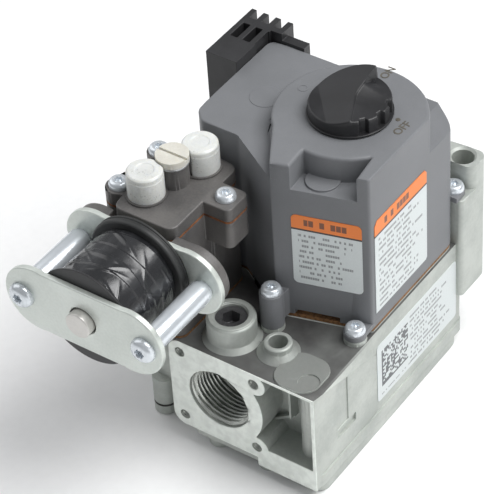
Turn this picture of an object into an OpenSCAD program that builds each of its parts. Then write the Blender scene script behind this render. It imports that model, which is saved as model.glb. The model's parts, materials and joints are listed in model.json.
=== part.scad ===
// Two-stage gas valve. The origin is the centre of the front gas port, on its machined face.
// +X is to the right seen from the front, +Y runs back along the gas flow axis, +Z is up.

/* [Gas ports] */
// Thread diameter of a gas port (3/4 inch taper pipe thread)
port_d = 26.6; // [22:0.1:32]
// Depth of the threaded part of a port
port_depth = 19; // [14:0.5:20]
// Distance between the two machined port faces
body_len = 127; // [125:1:160]
// Pitch of the four tapped holes around a port
flange_pitch = 33; // [33:0.5:38]
// Bore of the tapped holes round the front port
flange_hole_d = 4.4; // [3:0.1:4.6]
// Bore of the tapped holes round the rear port
rear_hole_d = 4.9; // [4.7:0.1:5.6]
// Depth of those tapped holes
flange_hole_depth = 9; // [6:0.5:12]

/* [Body casting] */
// Port axis to the right wall
body_right = 43.1; // [42:0.1:56]
// Port axis to the left wall
body_left = 39; // [36:0.5:52]
// Port axis to the deck
deck_h = 21.7; // [20:0.1:27]
// Port axis to the underside
sole_h = 26; // [24:0.5:32]
// Front face to the left shoulder
shoulder = 10; // [8:0.5:12]
// Depth of the open pocket beside the front port
pocket_depth = 14; // [8:0.5:16]
// Height of the tower at the rear right, above the deck
tower_h = 33; // [20:1:45]
// Height of the plug boss on the deck
plug_boss_h = 10.3; // [8:0.1:14]
// Height of the open boss on the deck
open_boss_h = 5.2; // [3:0.1:9]
// Bore of the open boss and of the tower
tap_bore_d = 7.2; // [5:0.1:8]

/* [Main valve] */
// Radius of the upper valve chamber
chamber_r = 19; // [16:0.5:20]
// Radius of the main valve seat opening
seat_r = 10; // [7:0.5:12]
// Lift of the main valve
main_lift = 3; // [1:0.1:4]
// Thickness of the main diaphragm
diaphragm_t = 0.8; // [0.5:0.1:1.2]
// Thickness of the bottom cover
bottom_t = 4.2; // [3.6:0.1:7]
// Bore of the shut-off valve seat
safety_seat_r = 5; // [3:0.1:5.5]
// Lift of the shut-off valve
safety_lift = 2.2; // [0.5:0.1:3]
// Lift of the pilot operator
operator_lift = 1.2; // [0.4:0.1:2]

/* [Cover] */
// Height of the cover's lower roof above the deck
cover_h = 66.8; // [60:0.5:85]
// Height of the knob platform above the lower roof
platform_h = 7.5; // [4:0.5:10]
// Wall of the cover
cover_wall = 2.4; // [1.8:0.1:3]
// Thickness of the gasket under the cover
gasket_t = 1.5; // [0.8:0.1:2]
// Right wall of the cover from the port axis
cover_right = 42.5; // [41:0.1:52]
// Rear wall of the cover behind the front face
cover_rear = 99; // [98:0.5:106]
// Radius of the round knob platform
platform_r = 28.8; // [24:0.1:29]
// Depth of the finger recess in front of the knob
recess_depth = 11; // [6:0.5:12]

/* [Knob] */
// Diameter of the control knob
knob_d = 32; // [26:0.5:40]
// Height of the knob's rim
knob_rim_h = 8; // [5:0.5:12]
// Height of the grip above the rim
grip_h = 4; // [3:0.5:12]
// Diameter of the knob shaft
shaft_d = 6; // [4:0.1:8]

/* [Regulator] */
// Right wall of the regulator from the port axis, negative to the left
reg_right = -15.5; // [-18:0.1:-15]
// Width of the regulator tower
reg_w = 27; // [25:0.5:32]
// Length of the regulator tower, front to back
reg_len = 42; // [41:0.5:43]
// Height of the regulator tower above the deck
reg_h = 47.8; // [44:0.1:58]
// Thickness of the housing's plate
housing_t = 5.7; // [5:0.1:8]
// Diameter of the translucent caps
cap_d = 14; // [12.6:0.1:15]
// Height of the translucent caps
cap_h = 12; // [10:0.5:15]
// Bore under an adjusting cap
adjuster_d = 7; // [5:0.1:7.4]

/* [Coil] */
// Height of the coil axis above the port axis
coil_z = 60; // [56:0.5:64]
// Coil axis to the left of the port axis
coil_x = 26.3; // [24:0.1:30]
// Distance between the two bolts
bolt_pitch = 54; // [52:0.5:66]
// Diameter of the taped winding
winding_d = 42; // [34:0.5:43]
// Clear length between the two plates
coil_len = 33.5; // [28:0.5:42]
// Thickness of the coil plates
plate_t = 2.5; // [1.5:0.1:3]
// Height of the coil plates
plate_h = 28.4; // [22:0.1:32]
// Diameter of the spacers over the bolts
spacer_d = 9.4; // [7:0.1:10]

/* [Hidden] */
$fn = 64;
eps = 0.01;
// Radial clearance of a running fit, and the gap left between parts that move past each other
fit = 0.06;
gap = 0.4;

// Colours
cast = [0.72, 0.74, 0.71];
dull_cast = [0.5, 0.5, 0.5];
zinc = [0.8, 0.84, 0.84];
steel = [0.62, 0.64, 0.66];
grey = [0.45, 0.47, 0.48];
black = [0.1, 0.1, 0.11];
rubber = [0.16, 0.16, 0.16];
brown = [0.5, 0.28, 0.14];
milky = [0.9, 0.88, 0.8];
label_white = [0.93, 0.94, 0.93];
copper = [0.72, 0.4, 0.2];

// Body levels and places
port_r = port_d / 2;
screen_r = port_r - 1.2;
ring_r = max(port_r + 6.5, 19.8);
deck = max(deck_h, ring_r);
lobe_r = deck - flange_pitch / 2;
flange_half = flange_pitch / 2 + lobe_r;
rear_shoulder = body_len - shoulder;
body_end = cover_rear + 6.5;
body_corner_r = 4;
seat_top = deck + 0.6;
plate_z = seat_top + gasket_t;
cover_z = plate_z;
main_xy = [2, 56];
safety_xy = [0, cover_rear - 14.9];
operator_xy = [-23, 65];
safety_well_r = 8;
operator_well_r = 3.4;
web_half = 2;
lower_r = chamber_r + 1;
flare_r = chamber_r + 5;
flare_h = 4;
plug_xy = [-1.4, 13.5];
plug_boss_r = 9.5;
open_xy = [18, 15.3];
open_boss_r = 5.5;
tower_x = 27.5;
tower_right = body_right + 2.7;
tower_y = cover_rear + 0.5;
tower_end = tower_y + 18.7;
tower_face = tower_y + 7.8;
tower_bore_r = 4.4;
tower_xy = [tower_right - 7.4, tower_face + 0.9 + tower_bore_r];
tower_ledge = 22;
tower_top = deck + tower_h;

// Cover
knob_xy = [16.2, 70];
roof_z = deck + cover_h;
top_z = roof_z + platform_h;
face_dir = [-0.9649, -0.2626];
cover_corner = [cover_right, 41.3];
face_len = 34.2;
face_end = cover_corner + face_len * face_dir;
cover_left = 38.3;
column_xy = [8.6, 25.6];
column_r = 4.6;
column_top = deck + 17.6;
right_tab_xy = [38.6, 35.4];
right_tab_r = 4.4;
rear_screw_xy = [tower_right - 5.6, tower_y + 3.4];
left_screw_xy = [-31, cover_rear + 4.7];
screw_shank_r = 2;
screw_head_r = 4;
screw_head_h = 2.6;

// Regulator
reg_front = 1.2;
reg_left = reg_right - reg_w;
reg_gasket_t = 0.8;
reg_foot = deck + reg_gasket_t;
reg_top = deck + reg_h;
sheet_t = 0.8;
housing_z = reg_top + sheet_t;
housing_top = housing_z + housing_t;
mid_xy = [-31.2, 24.4];
row_dir = [0.33, 0.944];
row_pitch = 12.3;
high_xy = mid_xy - row_pitch * row_dir;
low_xy = mid_xy + row_pitch * row_dir;
turret_r = cap_d / 2 - 1.3;
mid_turret_r = 5.9;
mid_head_r = 6.3;
right_ear = [reg_right + 5.7, 26.5];
left_ear = [reg_left - 4.6, 12];
rear_ear = [reg_left - 3.4, reg_front + reg_len - 8];
ears = [right_ear, left_ear, rear_ear];
ear_r = 6.3;
ear_drop = 12;
base_screws_xy = [[reg_right - 6, reg_front + 34], [max(reg_left + 6.4, 3 - body_left), reg_front + 14]];
cavity_h = 3;
reg_lift = 0.8;

// Coil
plate_back = -1.5;
rear_plate_y = plate_back - plate_t;
front_plate_y = rear_plate_y - coil_len;
coil_face = front_plate_y - plate_t;
bolt_x = [-coil_x - bolt_pitch / 2, -coil_x + bolt_pitch / 2];
bolt_r = 2.5;
bolt_head_r = 5.1;
bolt_head_h = 3.2;
pin_r = 5.2;
pin_out = 3.2;
tube_bore_r = 5.4;
stage_r = 4.6;
stage_lift = 2;

// ---------------------------------------------------------------- helpers

// Rectangle from corner a to corner b with round corners
module rrect(a, b, r) {
    translate([a[0] + r, a[1]]) square([b[0] - a[0] - 2 * r, b[1] - a[1]]);
    translate([a[0], a[1] + r]) square([b[0] - a[0], b[1] - a[1] - 2 * r]);
    for (x = [a[0] + r, b[0] - r]) {
        for (y = [a[1] + r, b[1] - r]) translate([x, y]) circle(r = r);
    }
}

// Draws a shape given in X and Z, from y0 back to y1
module along_y(y0, y1) {
    translate([0, y1, 0]) rotate([90, 0, 0]) linear_extrude(y1 - y0) children();
}

// Places children at a point of the plan, at height z
module at(xy, z = 0) {
    translate([xy[0], xy[1], z]) children();
}

// Cylinder along +Y from y0 to y1 at x and z
module y_rod(x, z, y0, y1, r) {
    translate([x, y0, z]) rotate([-90, 0, 0]) cylinder(h = y1 - y0, r = r);
}

// Ring of outer radius r, bore b and height h
module tube(h, r, b) {
    difference() {
        cylinder(h = h, r = r);
        translate([0, 0, -1]) cylinder(h = h + 2, r = b);
    }
}

// Unit vector at right angles to the left of the line from a to b
function left_of(a, b) = let (d = b - a) [-d[1], d[0]] / norm(d);

// Moves every side of an anticlockwise outline inwards by d
function inset(p, d) = let (n = len(p)) [for (i = [0 : n - 1])
    let (
        a = left_of(p[(i + n - 1) % n], p[i]),
        b = left_of(p[i], p[(i + 1) % n])
    )
    p[i] + d * (a + b) / (1 + a * b)];

// Rounds each corner of an outline with its own radius, in steps of about steps points
function rounded(p, r, steps = 5) = let (n = len(p)) [for (i = [0 : n - 1])
    let (
        u = (p[(i + n - 1) % n] - p[i]) / norm(p[(i + n - 1) % n] - p[i]),
        v = (p[(i + 1) % n] - p[i]) / norm(p[(i + 1) % n] - p[i]),
        half = acos(u * v) / 2,
        reach = r[i] / tan(half),
        start = p[i] + reach * u,
        stop = p[i] + reach * v
    )
    for (k = [0 : steps])
        let (t = k / steps)
        (1 - t) * (1 - t) * start + 2 * t * (1 - t) * p[i] + t * t * stop];

// Closed coil spring of wire radius w round the Z axis, from z = 0 to z = h
module coil_spring(r, w, h, turns) {
    sides = 6;
    per_turn = 14;
    rings = ceil(turns * per_turn);
    points = [for (i = [0 : rings]) for (j = [0 : sides - 1])
        let (a = 360 * i / per_turn, b = 360 * j / sides, z = w + (h - 2 * w) * i / rings)
        [(r + w * cos(b)) * cos(a), (r + w * cos(b)) * sin(a), z + w * sin(b)]];
    skin = [for (i = [0 : rings - 1]) for (j = [0 : sides - 1])
        let (a = i * sides + j, b = i * sides + (j + 1) % sides)
        [a, a + sides, b + sides, b]];
    first = [for (j = [0 : sides - 1]) j];
    last = [for (j = [sides - 1 : -1 : 0]) rings * sides + j];
    polyhedron(points = points, faces = concat(skin, [first, last]));
}

// Pan-head screw with a hexagon recess, head seat at z = 0, shank downwards
module pan_screw(length, shank = screw_shank_r, head = screw_head_r, h = screw_head_h) {
    difference() {
        union() {
            cylinder(h = h * 0.55, r = head);
            translate([0, 0, h * 0.55]) cylinder(h = h * 0.45, r1 = head, r2 = head * 0.72);
        }
        translate([0, 0, h * 0.4]) cylinder(h = h, r = head * 0.42, $fn = 6);
    }
    translate([0, 0, -length]) cylinder(h = length, r = shank);
}

// ---------------------------------------------------------------- body casting

// Face of a port flange, seen along the flow axis
module flange_2d() {
    half = flange_pitch / 2;
    circle(r = ring_r);
    rrect([-flange_half, -flange_half], [half, flange_half], lobe_r);
    translate([0, -flange_half]) square([half, 2 * flange_half]);
    for (z = [-half, half]) translate([half, z]) circle(r = lobe_r);
}

module flange_holes(y0, y1, d) {
    half = flange_pitch / 2;
    for (x = [-half, half]) {
        for (z = [-half, half]) y_rod(x, z, y0, y1, d / 2);
    }
}

module port_bore(face, inwards) {
    y0 = inwards > 0 ? face - 1 : face - port_depth;
    y_rod(0, 0, y0, y0 + port_depth + 1, port_r);
}

module cover_seat_2d() {
    polygon(rounded(inset(cover_outline(), 0.2), cover_radii()));
}

// Plan of the wide part of the casting
module body_plan() {
    rrect([-body_left, shoulder], [body_right, body_end], body_corner_r);
    translate([flange_pitch / 2, 0]) square([body_right - flange_pitch / 2, body_end / 2]);
}

module pocket_2d() {
    difference() {
        translate([flange_pitch / 2 - 1, -deck + 6])
            square([body_right - 1.5 - flange_pitch / 2 + 1, 2 * deck - 7.2]);
        flange_2d();
    }
}

module front_pocket() {
    difference() {
        along_y(-1, pocket_depth) pocket_2d();
        at([body_right - 6.6, pocket_depth - 3.4], -deck) cylinder(h = 2 * deck, r = 5.4);
        translate([body_right - 17.5, pocket_depth - 5, -4]) cube([1, 6, deck]);
        translate([body_right - 17, pocket_depth - 2.5, -4]) rotate([0, 145, 0]) cube([14, 4, 1]);
    }
}

module body_solid() {
    translate([0, 0, -sole_h]) linear_extrude(sole_h + deck) body_plan();
    translate([0, 0, -sole_h]) linear_extrude(6) body_foot();
    along_y(0, body_len) flange_2d();
    // Seat of the cover and its gasket
    translate([0, 0, deck - eps]) linear_extrude(seat_top - deck + eps) cover_seat_2d();
    // Round bosses on the deck, with their flared feet
    at(plug_xy, deck - eps) cylinder(h = plug_boss_h, r = plug_boss_r);
    at(plug_xy, deck - eps) cylinder(h = 2, r1 = plug_boss_r + 2, r2 = plug_boss_r);
    at(open_xy, deck - eps) cylinder(h = open_boss_h, r = open_boss_r);
    at(open_xy, deck - eps) cylinder(h = 2.6, r1 = open_boss_r + 2.8, r2 = open_boss_r);
    // Machined pad at the front right
    translate([0, 0, deck - eps]) linear_extrude(0.8) rrect([22.6, 0.4], [body_right - 2, 19.5], 7);
    // Screw pillars of the cover
    at(right_tab_xy, deck - eps) cylinder(h = cover_z - deck + eps, r = right_tab_r);
    at(column_xy, deck - eps) cylinder(h = cover_z - deck + eps, r = column_r);
    // Tower at the rear right, and its ledge for the rear cover screw
    translate([0, 0, -5]) linear_extrude(tower_top + 5)
        rrect([tower_x, tower_face], [tower_right, tower_end], 3.6);
    translate([0, 0, -5]) linear_extrude(deck + tower_ledge + 5)
        rrect([tower_x, tower_y + 0.2], [tower_right, tower_face + 5], 2);
    // Left rear pillar for a cover screw
    at(left_screw_xy, deck - 4) cylinder(h = tower_ledge + 4, r = 4.4);
    at(left_screw_xy, deck - 4) translate([-4.4, -3.9, 0]) cube([8.8, 3.9, tower_ledge + 4]);
    // Lugs low on the left wall
    for (y = [20, 78]) {
        translate([-body_left - 3, y, -sole_h + 2]) cube([5, 9, 12]);
    }
    // Lug for the front left screw of the bottom cover
    at(left_lug_xy, -sole_h) cylinder(h = 13, r = left_lug_r);
}

module body_foot() {
    rrect([-14, 1.5], [body_right + 0.5, body_end - 1], 3);
}

module body_voids() {
    port_bore(0, 1);
    port_bore(body_len, -1);
    flange_holes(-1, flange_hole_depth, flange_hole_d);
    flange_holes(body_len - flange_hole_depth, body_len + 1, rear_hole_d);
    // Recess behind the rear port that holds the screen
    y_rod(0, 0, body_len - port_depth - 1.7, body_len - port_depth + 1, screen_r + 0.05);
    // Main valve: open chamber above the seat, chamber below it, and the flare for the diaphragm
    at(main_xy, web_half) cylinder(h = deck * 2, r = chamber_r);
    at(main_xy, -web_half - 1) cylinder(h = 2 * web_half + 2, r = seat_r);
    at(main_xy, -sole_h - 1) cylinder(h = sole_h + 1 - web_half, r = lower_r);
    at(main_xy, -sole_h - 1) cylinder(h = flare_h + 1, r = flare_r);
    // Gallery from the front port down to the lower chamber
    y_rod(0, -9, port_depth - 3, main_xy[1] - lower_r + 3, 8);
    // Shut-off valve: well, seat, pocket below and the gallery to the rear port
    at(safety_xy, -3) cylinder(h = deck * 2, r = safety_well_r);
    at(safety_xy, -8) cylinder(h = 6, r = safety_seat_r);
    at(safety_xy, -16) cylinder(h = 9, r = 7);
    y_rod(0, -9, safety_xy[1], body_len - port_depth + 3, 6.5);
    // Passage from the well to the upper chamber
    translate([safety_xy[0], main_xy[1] + chamber_r - 4, 12])
        rotate([-90, 0, 0]) cylinder(h = 10, r = 5);
    // Pilot well of the operator and its passage
    at(operator_xy, deck - 9) cylinder(h = 30, r = operator_well_r);
    at(operator_xy, deck - 6) rotate([0, 90, 0]) cylinder(h = 8, r = 1.5);
    // Bosses and tower
    at(plug_xy, deck - 6) cylinder(h = 40, r = 4.8);
    at(plug_xy, deck + plug_boss_h - 2.6) cylinder(h = 4, r = 6.1);
    at(open_xy, deck - 8) cylinder(h = 40, r = tap_bore_d / 2);
    at(tower_xy, tower_top - 25) cylinder(h = 30, r = tower_bore_r);
    at(tower_xy, tower_top - 1) cylinder(h = 1.2, r1 = tower_bore_r - 0.1, r2 = tower_bore_r + 1.1);
    at([36.8, 7], deck + 0.3) cylinder(h = 2, r = 4.2);
    // Holes for the cover screws
    at(column_xy, deck - 9) cylinder(h = 30, r = screw_shank_r + fit);
    at(right_tab_xy, deck - 9) cylinder(h = 30, r = screw_shank_r + fit);
    at(rear_screw_xy, deck + tower_ledge - 9) cylinder(h = 30, r = screw_shank_r + fit);
    at(left_screw_xy, deck + tower_ledge - 9) cylinder(h = 30, r = screw_shank_r + fit);
    // Holes for the bottom cover screws and the regulator's screws
    for (p = bottom_screws_xy) at(p, -sole_h - 1) cylinder(h = 8, r = screw_shank_r + fit);
    for (p = base_screws_xy) at(p, deck - 9) cylinder(h = 12, r = screw_shank_r + fit);
    // Slot and shallow panel in the right wall
    translate([body_right - 1, 15, -11]) cube([3, 12.5, 3.8]);
    translate([body_right - 0.5, 14.6, -6.5]) cube([3, 8, 22]);
}

module valve_body() {
    color(cast) difference() {
        body_solid();
        body_voids();
        front_pocket();
    }
}

left_lug_r = 4.7;
left_lug_xy = [-body_left + left_lug_r, shoulder + 1];
bottom_screws_xy = [
    [-6, 7.4], [17, 7.2], [34, 9], [body_right - 6, 56], [body_right - 6, body_end - 9],
    [main_xy[0], body_end - 6], [-body_left + 8, body_end - 12], [-body_left + 8, 45], left_lug_xy];

module bottom_plan() {
    difference() {
        union() {
            rrect([-body_left + 2, 34], [body_right, body_end - 1], 8);
            rrect([-11, 9], [body_right, 60], 6);
            for (p = [bottom_screws_xy[0], bottom_screws_xy[1]]) translate(p) circle(r = 4.4);
            rrect([28, 3.6], [body_right, 20], 5);
            translate(left_lug_xy) circle(r = left_lug_r);
            rrect([-body_left, left_lug_xy[1] + 0.5], [-body_left + 2 * left_lug_r, 45], 1);
        }
        for (p = bottom_screws_xy) translate(p) circle(r = screw_shank_r + 0.3);
    }
}

module bottom_cover() {
    z0 = -sole_h - diaphragm_t - bottom_t;
    color(cast) difference() {
        translate([0, 0, z0]) linear_extrude(bottom_t) bottom_plan();
        at(main_xy, z0 + bottom_t - 0.6 - cavity_depth) cylinder(h = 20, r = flare_r - 1);
        for (p = bottom_screws_xy) at(p, z0 - 1) cylinder(h = 1 + 2, r = screw_head_r + 0.2);
    }
}
cavity_depth = 2.2;

module bottom_screws() {
    z0 = -sole_h - diaphragm_t - bottom_t + 2;
    color(steel) for (p = bottom_screws_xy) at(p, z0) mirror([0, 0, 1])
        pan_screw(bottom_t - 2 + diaphragm_t + 6, h = 1.6);
}

module main_diaphragm() {
    color(rubber) translate([0, 0, -sole_h - diaphragm_t]) linear_extrude(diaphragm_t) difference() {
        bottom_plan();
        translate(main_xy) circle(r = stem_r + fit);
    }
}

// ---------------------------------------------------------------- main valve
stem_r = 2.5;
disc_r = seat_r + 3;

// Plate that rests on the diaphragm and pushes the stem up
module diaphragm_plate() {
    color(steel) at(main_xy, -sole_h + 0.1) difference() {
        cylinder(h = 1.2, r = lower_r - 1);
        translate([0, 0, -1]) cylinder(h = 4, r = stem_r);
    }
}

module valve_stem() {
    color(steel) at(main_xy, -sole_h - diaphragm_t - 0.5) cylinder(h = sole_h + diaphragm_t + web_half + 9, r = stem_r);
}

module main_valve_disc() {
    color(rubber) at(main_xy, web_half + 0.1) tube(3, disc_r, stem_r);
}

module main_spring() {
    color(steel) at(main_xy, web_half + 3.2) coil_spring(7, 0.7, plate_z - web_half - 3.4, 5);
}

module inlet_screen() {
    y = body_len - port_depth - 1.6;
    color(steel) difference() {
        y_rod(0, 0, y, y + 1, screen_r);
        for (x = [-3 : 3]) {
            for (z = [-3 : 3]) {
                if (x * x + z * z < 12) y_rod(x * 2.8, z * 2.8, y - 1, y + 3, 0.9);
            }
        }
    }
}

module tap_plug() {
    color(steel) at(plug_xy, deck - 3) difference() {
        union() {
            cylinder(h = plug_boss_h + 0.41, r = 4.8 - 0.02);
            translate([0, 0, plug_boss_h + 0.41]) cylinder(h = 1.5, r = 6);
        }
        translate([0, 0, plug_boss_h - 3.6]) cylinder(h = 8, r = 3.7, $fn = 6);
    }
}

// ---------------------------------------------------------------- top plate and solenoids
module body_gasket() {
    color(brown) translate([0, 0, seat_top]) linear_extrude(gasket_t) difference() {
        cover_seat_2d();
        translate(main_xy) circle(r = chamber_r + 0.5);
        translate(safety_xy) circle(r = safety_well_r + 0.5);
        translate(operator_xy) circle(r = operator_well_r + 0.5);
    }
}

plate_inner = cover_wall + 0.5;
plate_steel_t = 2;

module top_plate() {
    color(zinc) translate([0, 0, plate_z]) linear_extrude(plate_steel_t) difference() {
        polygon(rounded(inset(cover_outline(), plate_inner), [for (r = cover_radii()) max(r - plate_inner, 0.5)]));
        translate(safety_xy) circle(r = safety_tube_r);
        translate(operator_xy) circle(r = operator_tube_r);
    }
}

safety_tube_r = 5.6;
safety_plunger_r = 5;
operator_tube_r = 4;
operator_plunger_r = 3;
coil_base = plate_z + plate_steel_t;
safety_coil_h = 26;
operator_coil_h = 22;
frame_t = 2;

// Closed steel tube that guides a plunger, standing on the top plate
module guide_tube(r, bore, h) {
    difference() {
        cylinder(h = h, r = r);
        translate([0, 0, -1]) cylinder(h = h - 1, r = bore);
    }
}

module safety_tube() {
    color(steel) at(safety_xy, plate_z) guide_tube(safety_tube_r, safety_plunger_r + fit, safety_tube_h);
}
safety_tube_h = plate_steel_t + 2 * frame_t + safety_coil_h;

module safety_coil() {
    color(copper) at(safety_xy, coil_base + frame_t) tube(safety_coil_h, 10.6, safety_tube_r + 0.05);
}

// Steel frame folded round a coil, open at the front
module solenoid_frame(r, bore, top_bore, h, coil_r) {
    difference() {
        translate([-r, -r, 0]) cube([2 * r, 2 * r, h + 2 * frame_t]);
        translate([-r - 1, -r - frame_t, frame_t]) cube([2 * r + 2, 2 * r, h]);
        translate([0, 0, frame_t]) cylinder(h = h, r = coil_r + 0.1);
        translate([0, 0, -1]) cylinder(h = frame_t + 2, r = bore);
        translate([0, 0, h]) cylinder(h = 3 * frame_t, r = top_bore);
    }
}

module safety_frame() {
    color(zinc) at(safety_xy, coil_base)
        solenoid_frame(11.6, safety_tube_r + 0.05, safety_tube_r + 0.05, safety_coil_h, 10.6);
}

module safety_plunger() {
    color(steel) at(safety_xy, 0.6) cylinder(h = coil_base + 14, r = safety_plunger_r);
}

module safety_valve_disc() {
    color(rubber) at(safety_xy, -2.9) cylinder(h = 3.4, r = safety_seat_r + 1.6);
}

module safety_spring() {
    z = coil_base + 14.9;
    color(steel) at(safety_xy, z) coil_spring(3, 0.5, plate_z + safety_tube_h - 2.4 - z, 4);
}

module operator_coil() {
    color(copper) at(operator_xy, coil_base + frame_t) tube(operator_coil_h, 8.6, operator_tube_r + 0.05);
}

module operator_frame() {
    color(zinc) at(operator_xy, coil_base)
        solenoid_frame(9.6, operator_tube_r, 1.5, operator_coil_h, 8.6);
}

module operator_plunger() {
    color(steel) at(operator_xy, deck - 8.6) cylinder(h = operator_plunger_h, r = operator_plunger_r);
}

operator_plunger_h = coil_base - deck + 24;

module operator_spring() {
    z = deck - 8.6 + operator_plunger_h + 0.1;
    color(steel) at(operator_xy, z) coil_spring(2.2, 0.4, coil_base + frame_t + operator_coil_h - z - 0.1, 4);
}

// ---------------------------------------------------------------- cover
function cover_outline() = [
    face_end, cover_corner, [cover_right, cover_rear], [-cover_left, cover_rear],
    [-cover_left, 50.5], [-33.5, 45.8], [-17, 45.6], face_end + [-3, -0.8]];

function cover_radii() = [1.2, 1.5, 4, 4, 5, 4, 5, 1.2];

module roof_2d(d) {
    polygon(rounded(inset(cover_outline(), d), [for (r = cover_radii()) max(r - d, 0.4)]));
}

// Plan of the raised knob platform
module platform_2d(d) {
    intersection() {
        union() {
            translate(knob_xy) circle(r = platform_r - d);
            polygon([[-8.6, 56.6], face_end + [-2.8, -0.6], face_end, cover_corner, [cover_right, 81]]);
        }
        roof_2d(d);
    }
}

// Finger recess in front of the knob, seen from above
module recess_2d() {
    a = cover_corner + 6.6 * face_dir;
    b = face_end - 2.2 * face_dir;
    difference() {
        polygon([a + [3, -10], b + [3, -10], b + [1.2, 16], a + [-1, 22]]);
        translate(knob_xy) circle(r = platform_r - 2.3);
    }
}

module cover_shell() {
    difference() {
        translate([0, 0, cover_z]) linear_extrude(roof_z - cover_z) roof_2d(0);
        // Shoulder along the rear right edge
        along_y(knob_xy[1] + 10.5, cover_rear + 1) polygon([
            [cover_right - 6.5, roof_z + eps], [cover_right - 6.5, roof_z + 9],
            [cover_right + 1, roof_z + 9], [cover_right + 1, roof_z - 10.4]]);
    }
    translate([0, 0, roof_z - 11]) linear_extrude(11 + platform_h) platform_2d(0);
    // Screw column at the front left, and the web that joins it to the wall
    at(column_xy, cover_z) cylinder(h = column_top - cover_z, r = column_r);
    at(column_xy, cover_z) translate([-2.6, 0, 0]) cube([5.4, 8, column_top - cover_z - 3]);
    // Foot at the front right corner and the two rear tabs
    at(right_tab_xy, cover_z) cylinder(h = 2.4, r = right_tab_r);
    at(right_tab_xy, cover_z) translate([-right_tab_r, 0, 0]) cube([right_tab_r + cover_right - right_tab_xy[0], 8, 2.4]);
    for (p = [rear_screw_xy, left_screw_xy]) {
        at(p, deck + tower_ledge + 0.1) cylinder(h = 2.4, r = 4.2);
        at(p, deck + tower_ledge + 0.1) translate([-4.2, -p[1] + cover_rear - 1, 0])
            cube([8.4, p[1] - cover_rear + 1, 2.4]);
    }
}

// Knob bearing and switch post that stay inside the hollow cover
module inner_posts() {
    at(knob_xy, bearing_z) cylinder(h = 60, r = shaft_d / 2 + 4);
    translate([button_x + 2.2, knob_xy[1] - 6, cam_z + 8]) cube([9, 12, 60]);
}

module cover_voids() {
    inner_top = roof_z - recess_depth + platform_h - cover_wall;
    difference() {
        translate([0, 0, cover_z - 1]) linear_extrude(inner_top - cover_z + 1) roof_2d(cover_wall);
        inner_posts();
        along_y(knob_xy[1] + 8, cover_rear + 1) polygon([
            [cover_right - 9, roof_z], [cover_right + 1, roof_z], [cover_right + 1, roof_z - 14.4]]);
    }
    // Hollow of the knob platform
    difference() {
        at(knob_xy, inner_top - 1) cylinder(h = top_z - cover_wall - inner_top + 1, r = platform_r - 4.8);
        inner_posts();
    }
    // Room under the lower roof and under the platform
    translate([0, 0, inner_top - 1]) linear_extrude(roof_z - cover_wall - inner_top + 1) difference() {
        roof_2d(cover_wall);
        translate(knob_xy) circle(r = platform_r - 3);
        polygon([[-8.6, 56.6], face_end + [-2.8, -0.6], cover_corner, [cover_right, 81], [16, 66]]);
        translate([cover_right - 12, knob_xy[1]]) square([20, 60]);
    }
    translate([0, 0, top_z - recess_depth]) linear_extrude(recess_depth + 1) recess_2d();
    // Notch under the front face
    translate([column_xy[0] + column_r, 24, cover_z - 1]) cube([17, 16, 3.4]);
    // Knob shaft and its seal
    at(knob_xy, bearing_z - 1) cylinder(h = 80, r = shaft_d / 2 + fit);
    at(knob_xy, top_z - 2) cylinder(h = 4, r = shaft_d / 2 + 2);
    // Screw holes
    at(column_xy, cover_z - 1) cylinder(h = 60, r = screw_shank_r + 0.3);
    at(right_tab_xy, cover_z - 1) cylinder(h = 10, r = screw_shank_r + 0.3);
    at(rear_screw_xy, deck + tower_ledge - 1) cylinder(h = 10, r = screw_shank_r + 0.3);
    at(left_screw_xy, deck + tower_ledge - 1) cylinder(h = 10, r = screw_shank_r + 0.3);
    // Window for the terminals in the left wall
    translate([-cover_left - 1, block_y + 5, block_z + 4]) cube([cover_wall + 2, 16, 14]);
}
bearing_z = top_z - 18;

module cover() {
    color(grey) {
        difference() {
            cover_shell();
            cover_voids();
        }
        // Round step in the floor of the finger recess
        translate([0, 0, top_z - recess_depth - eps]) linear_extrude(0.9) intersection() {
            translate(knob_xy + [5.2, -26.6]) circle(r = 6.4);
            recess_2d();
        }
    }
}

module cover_screws() {
    color(zinc) {
        at(column_xy, column_top + 0.05) pan_screw(column_top - deck + 7);
        at(right_tab_xy, cover_z + 2.45) pan_screw(10);
        at(rear_screw_xy, deck + tower_ledge + 2.55) pan_screw(10);
        at(left_screw_xy, deck + tower_ledge + 2.55) pan_screw(10);
    }
}

// ---------------------------------------------------------------- knob
knob_z = top_z + gap;

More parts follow.
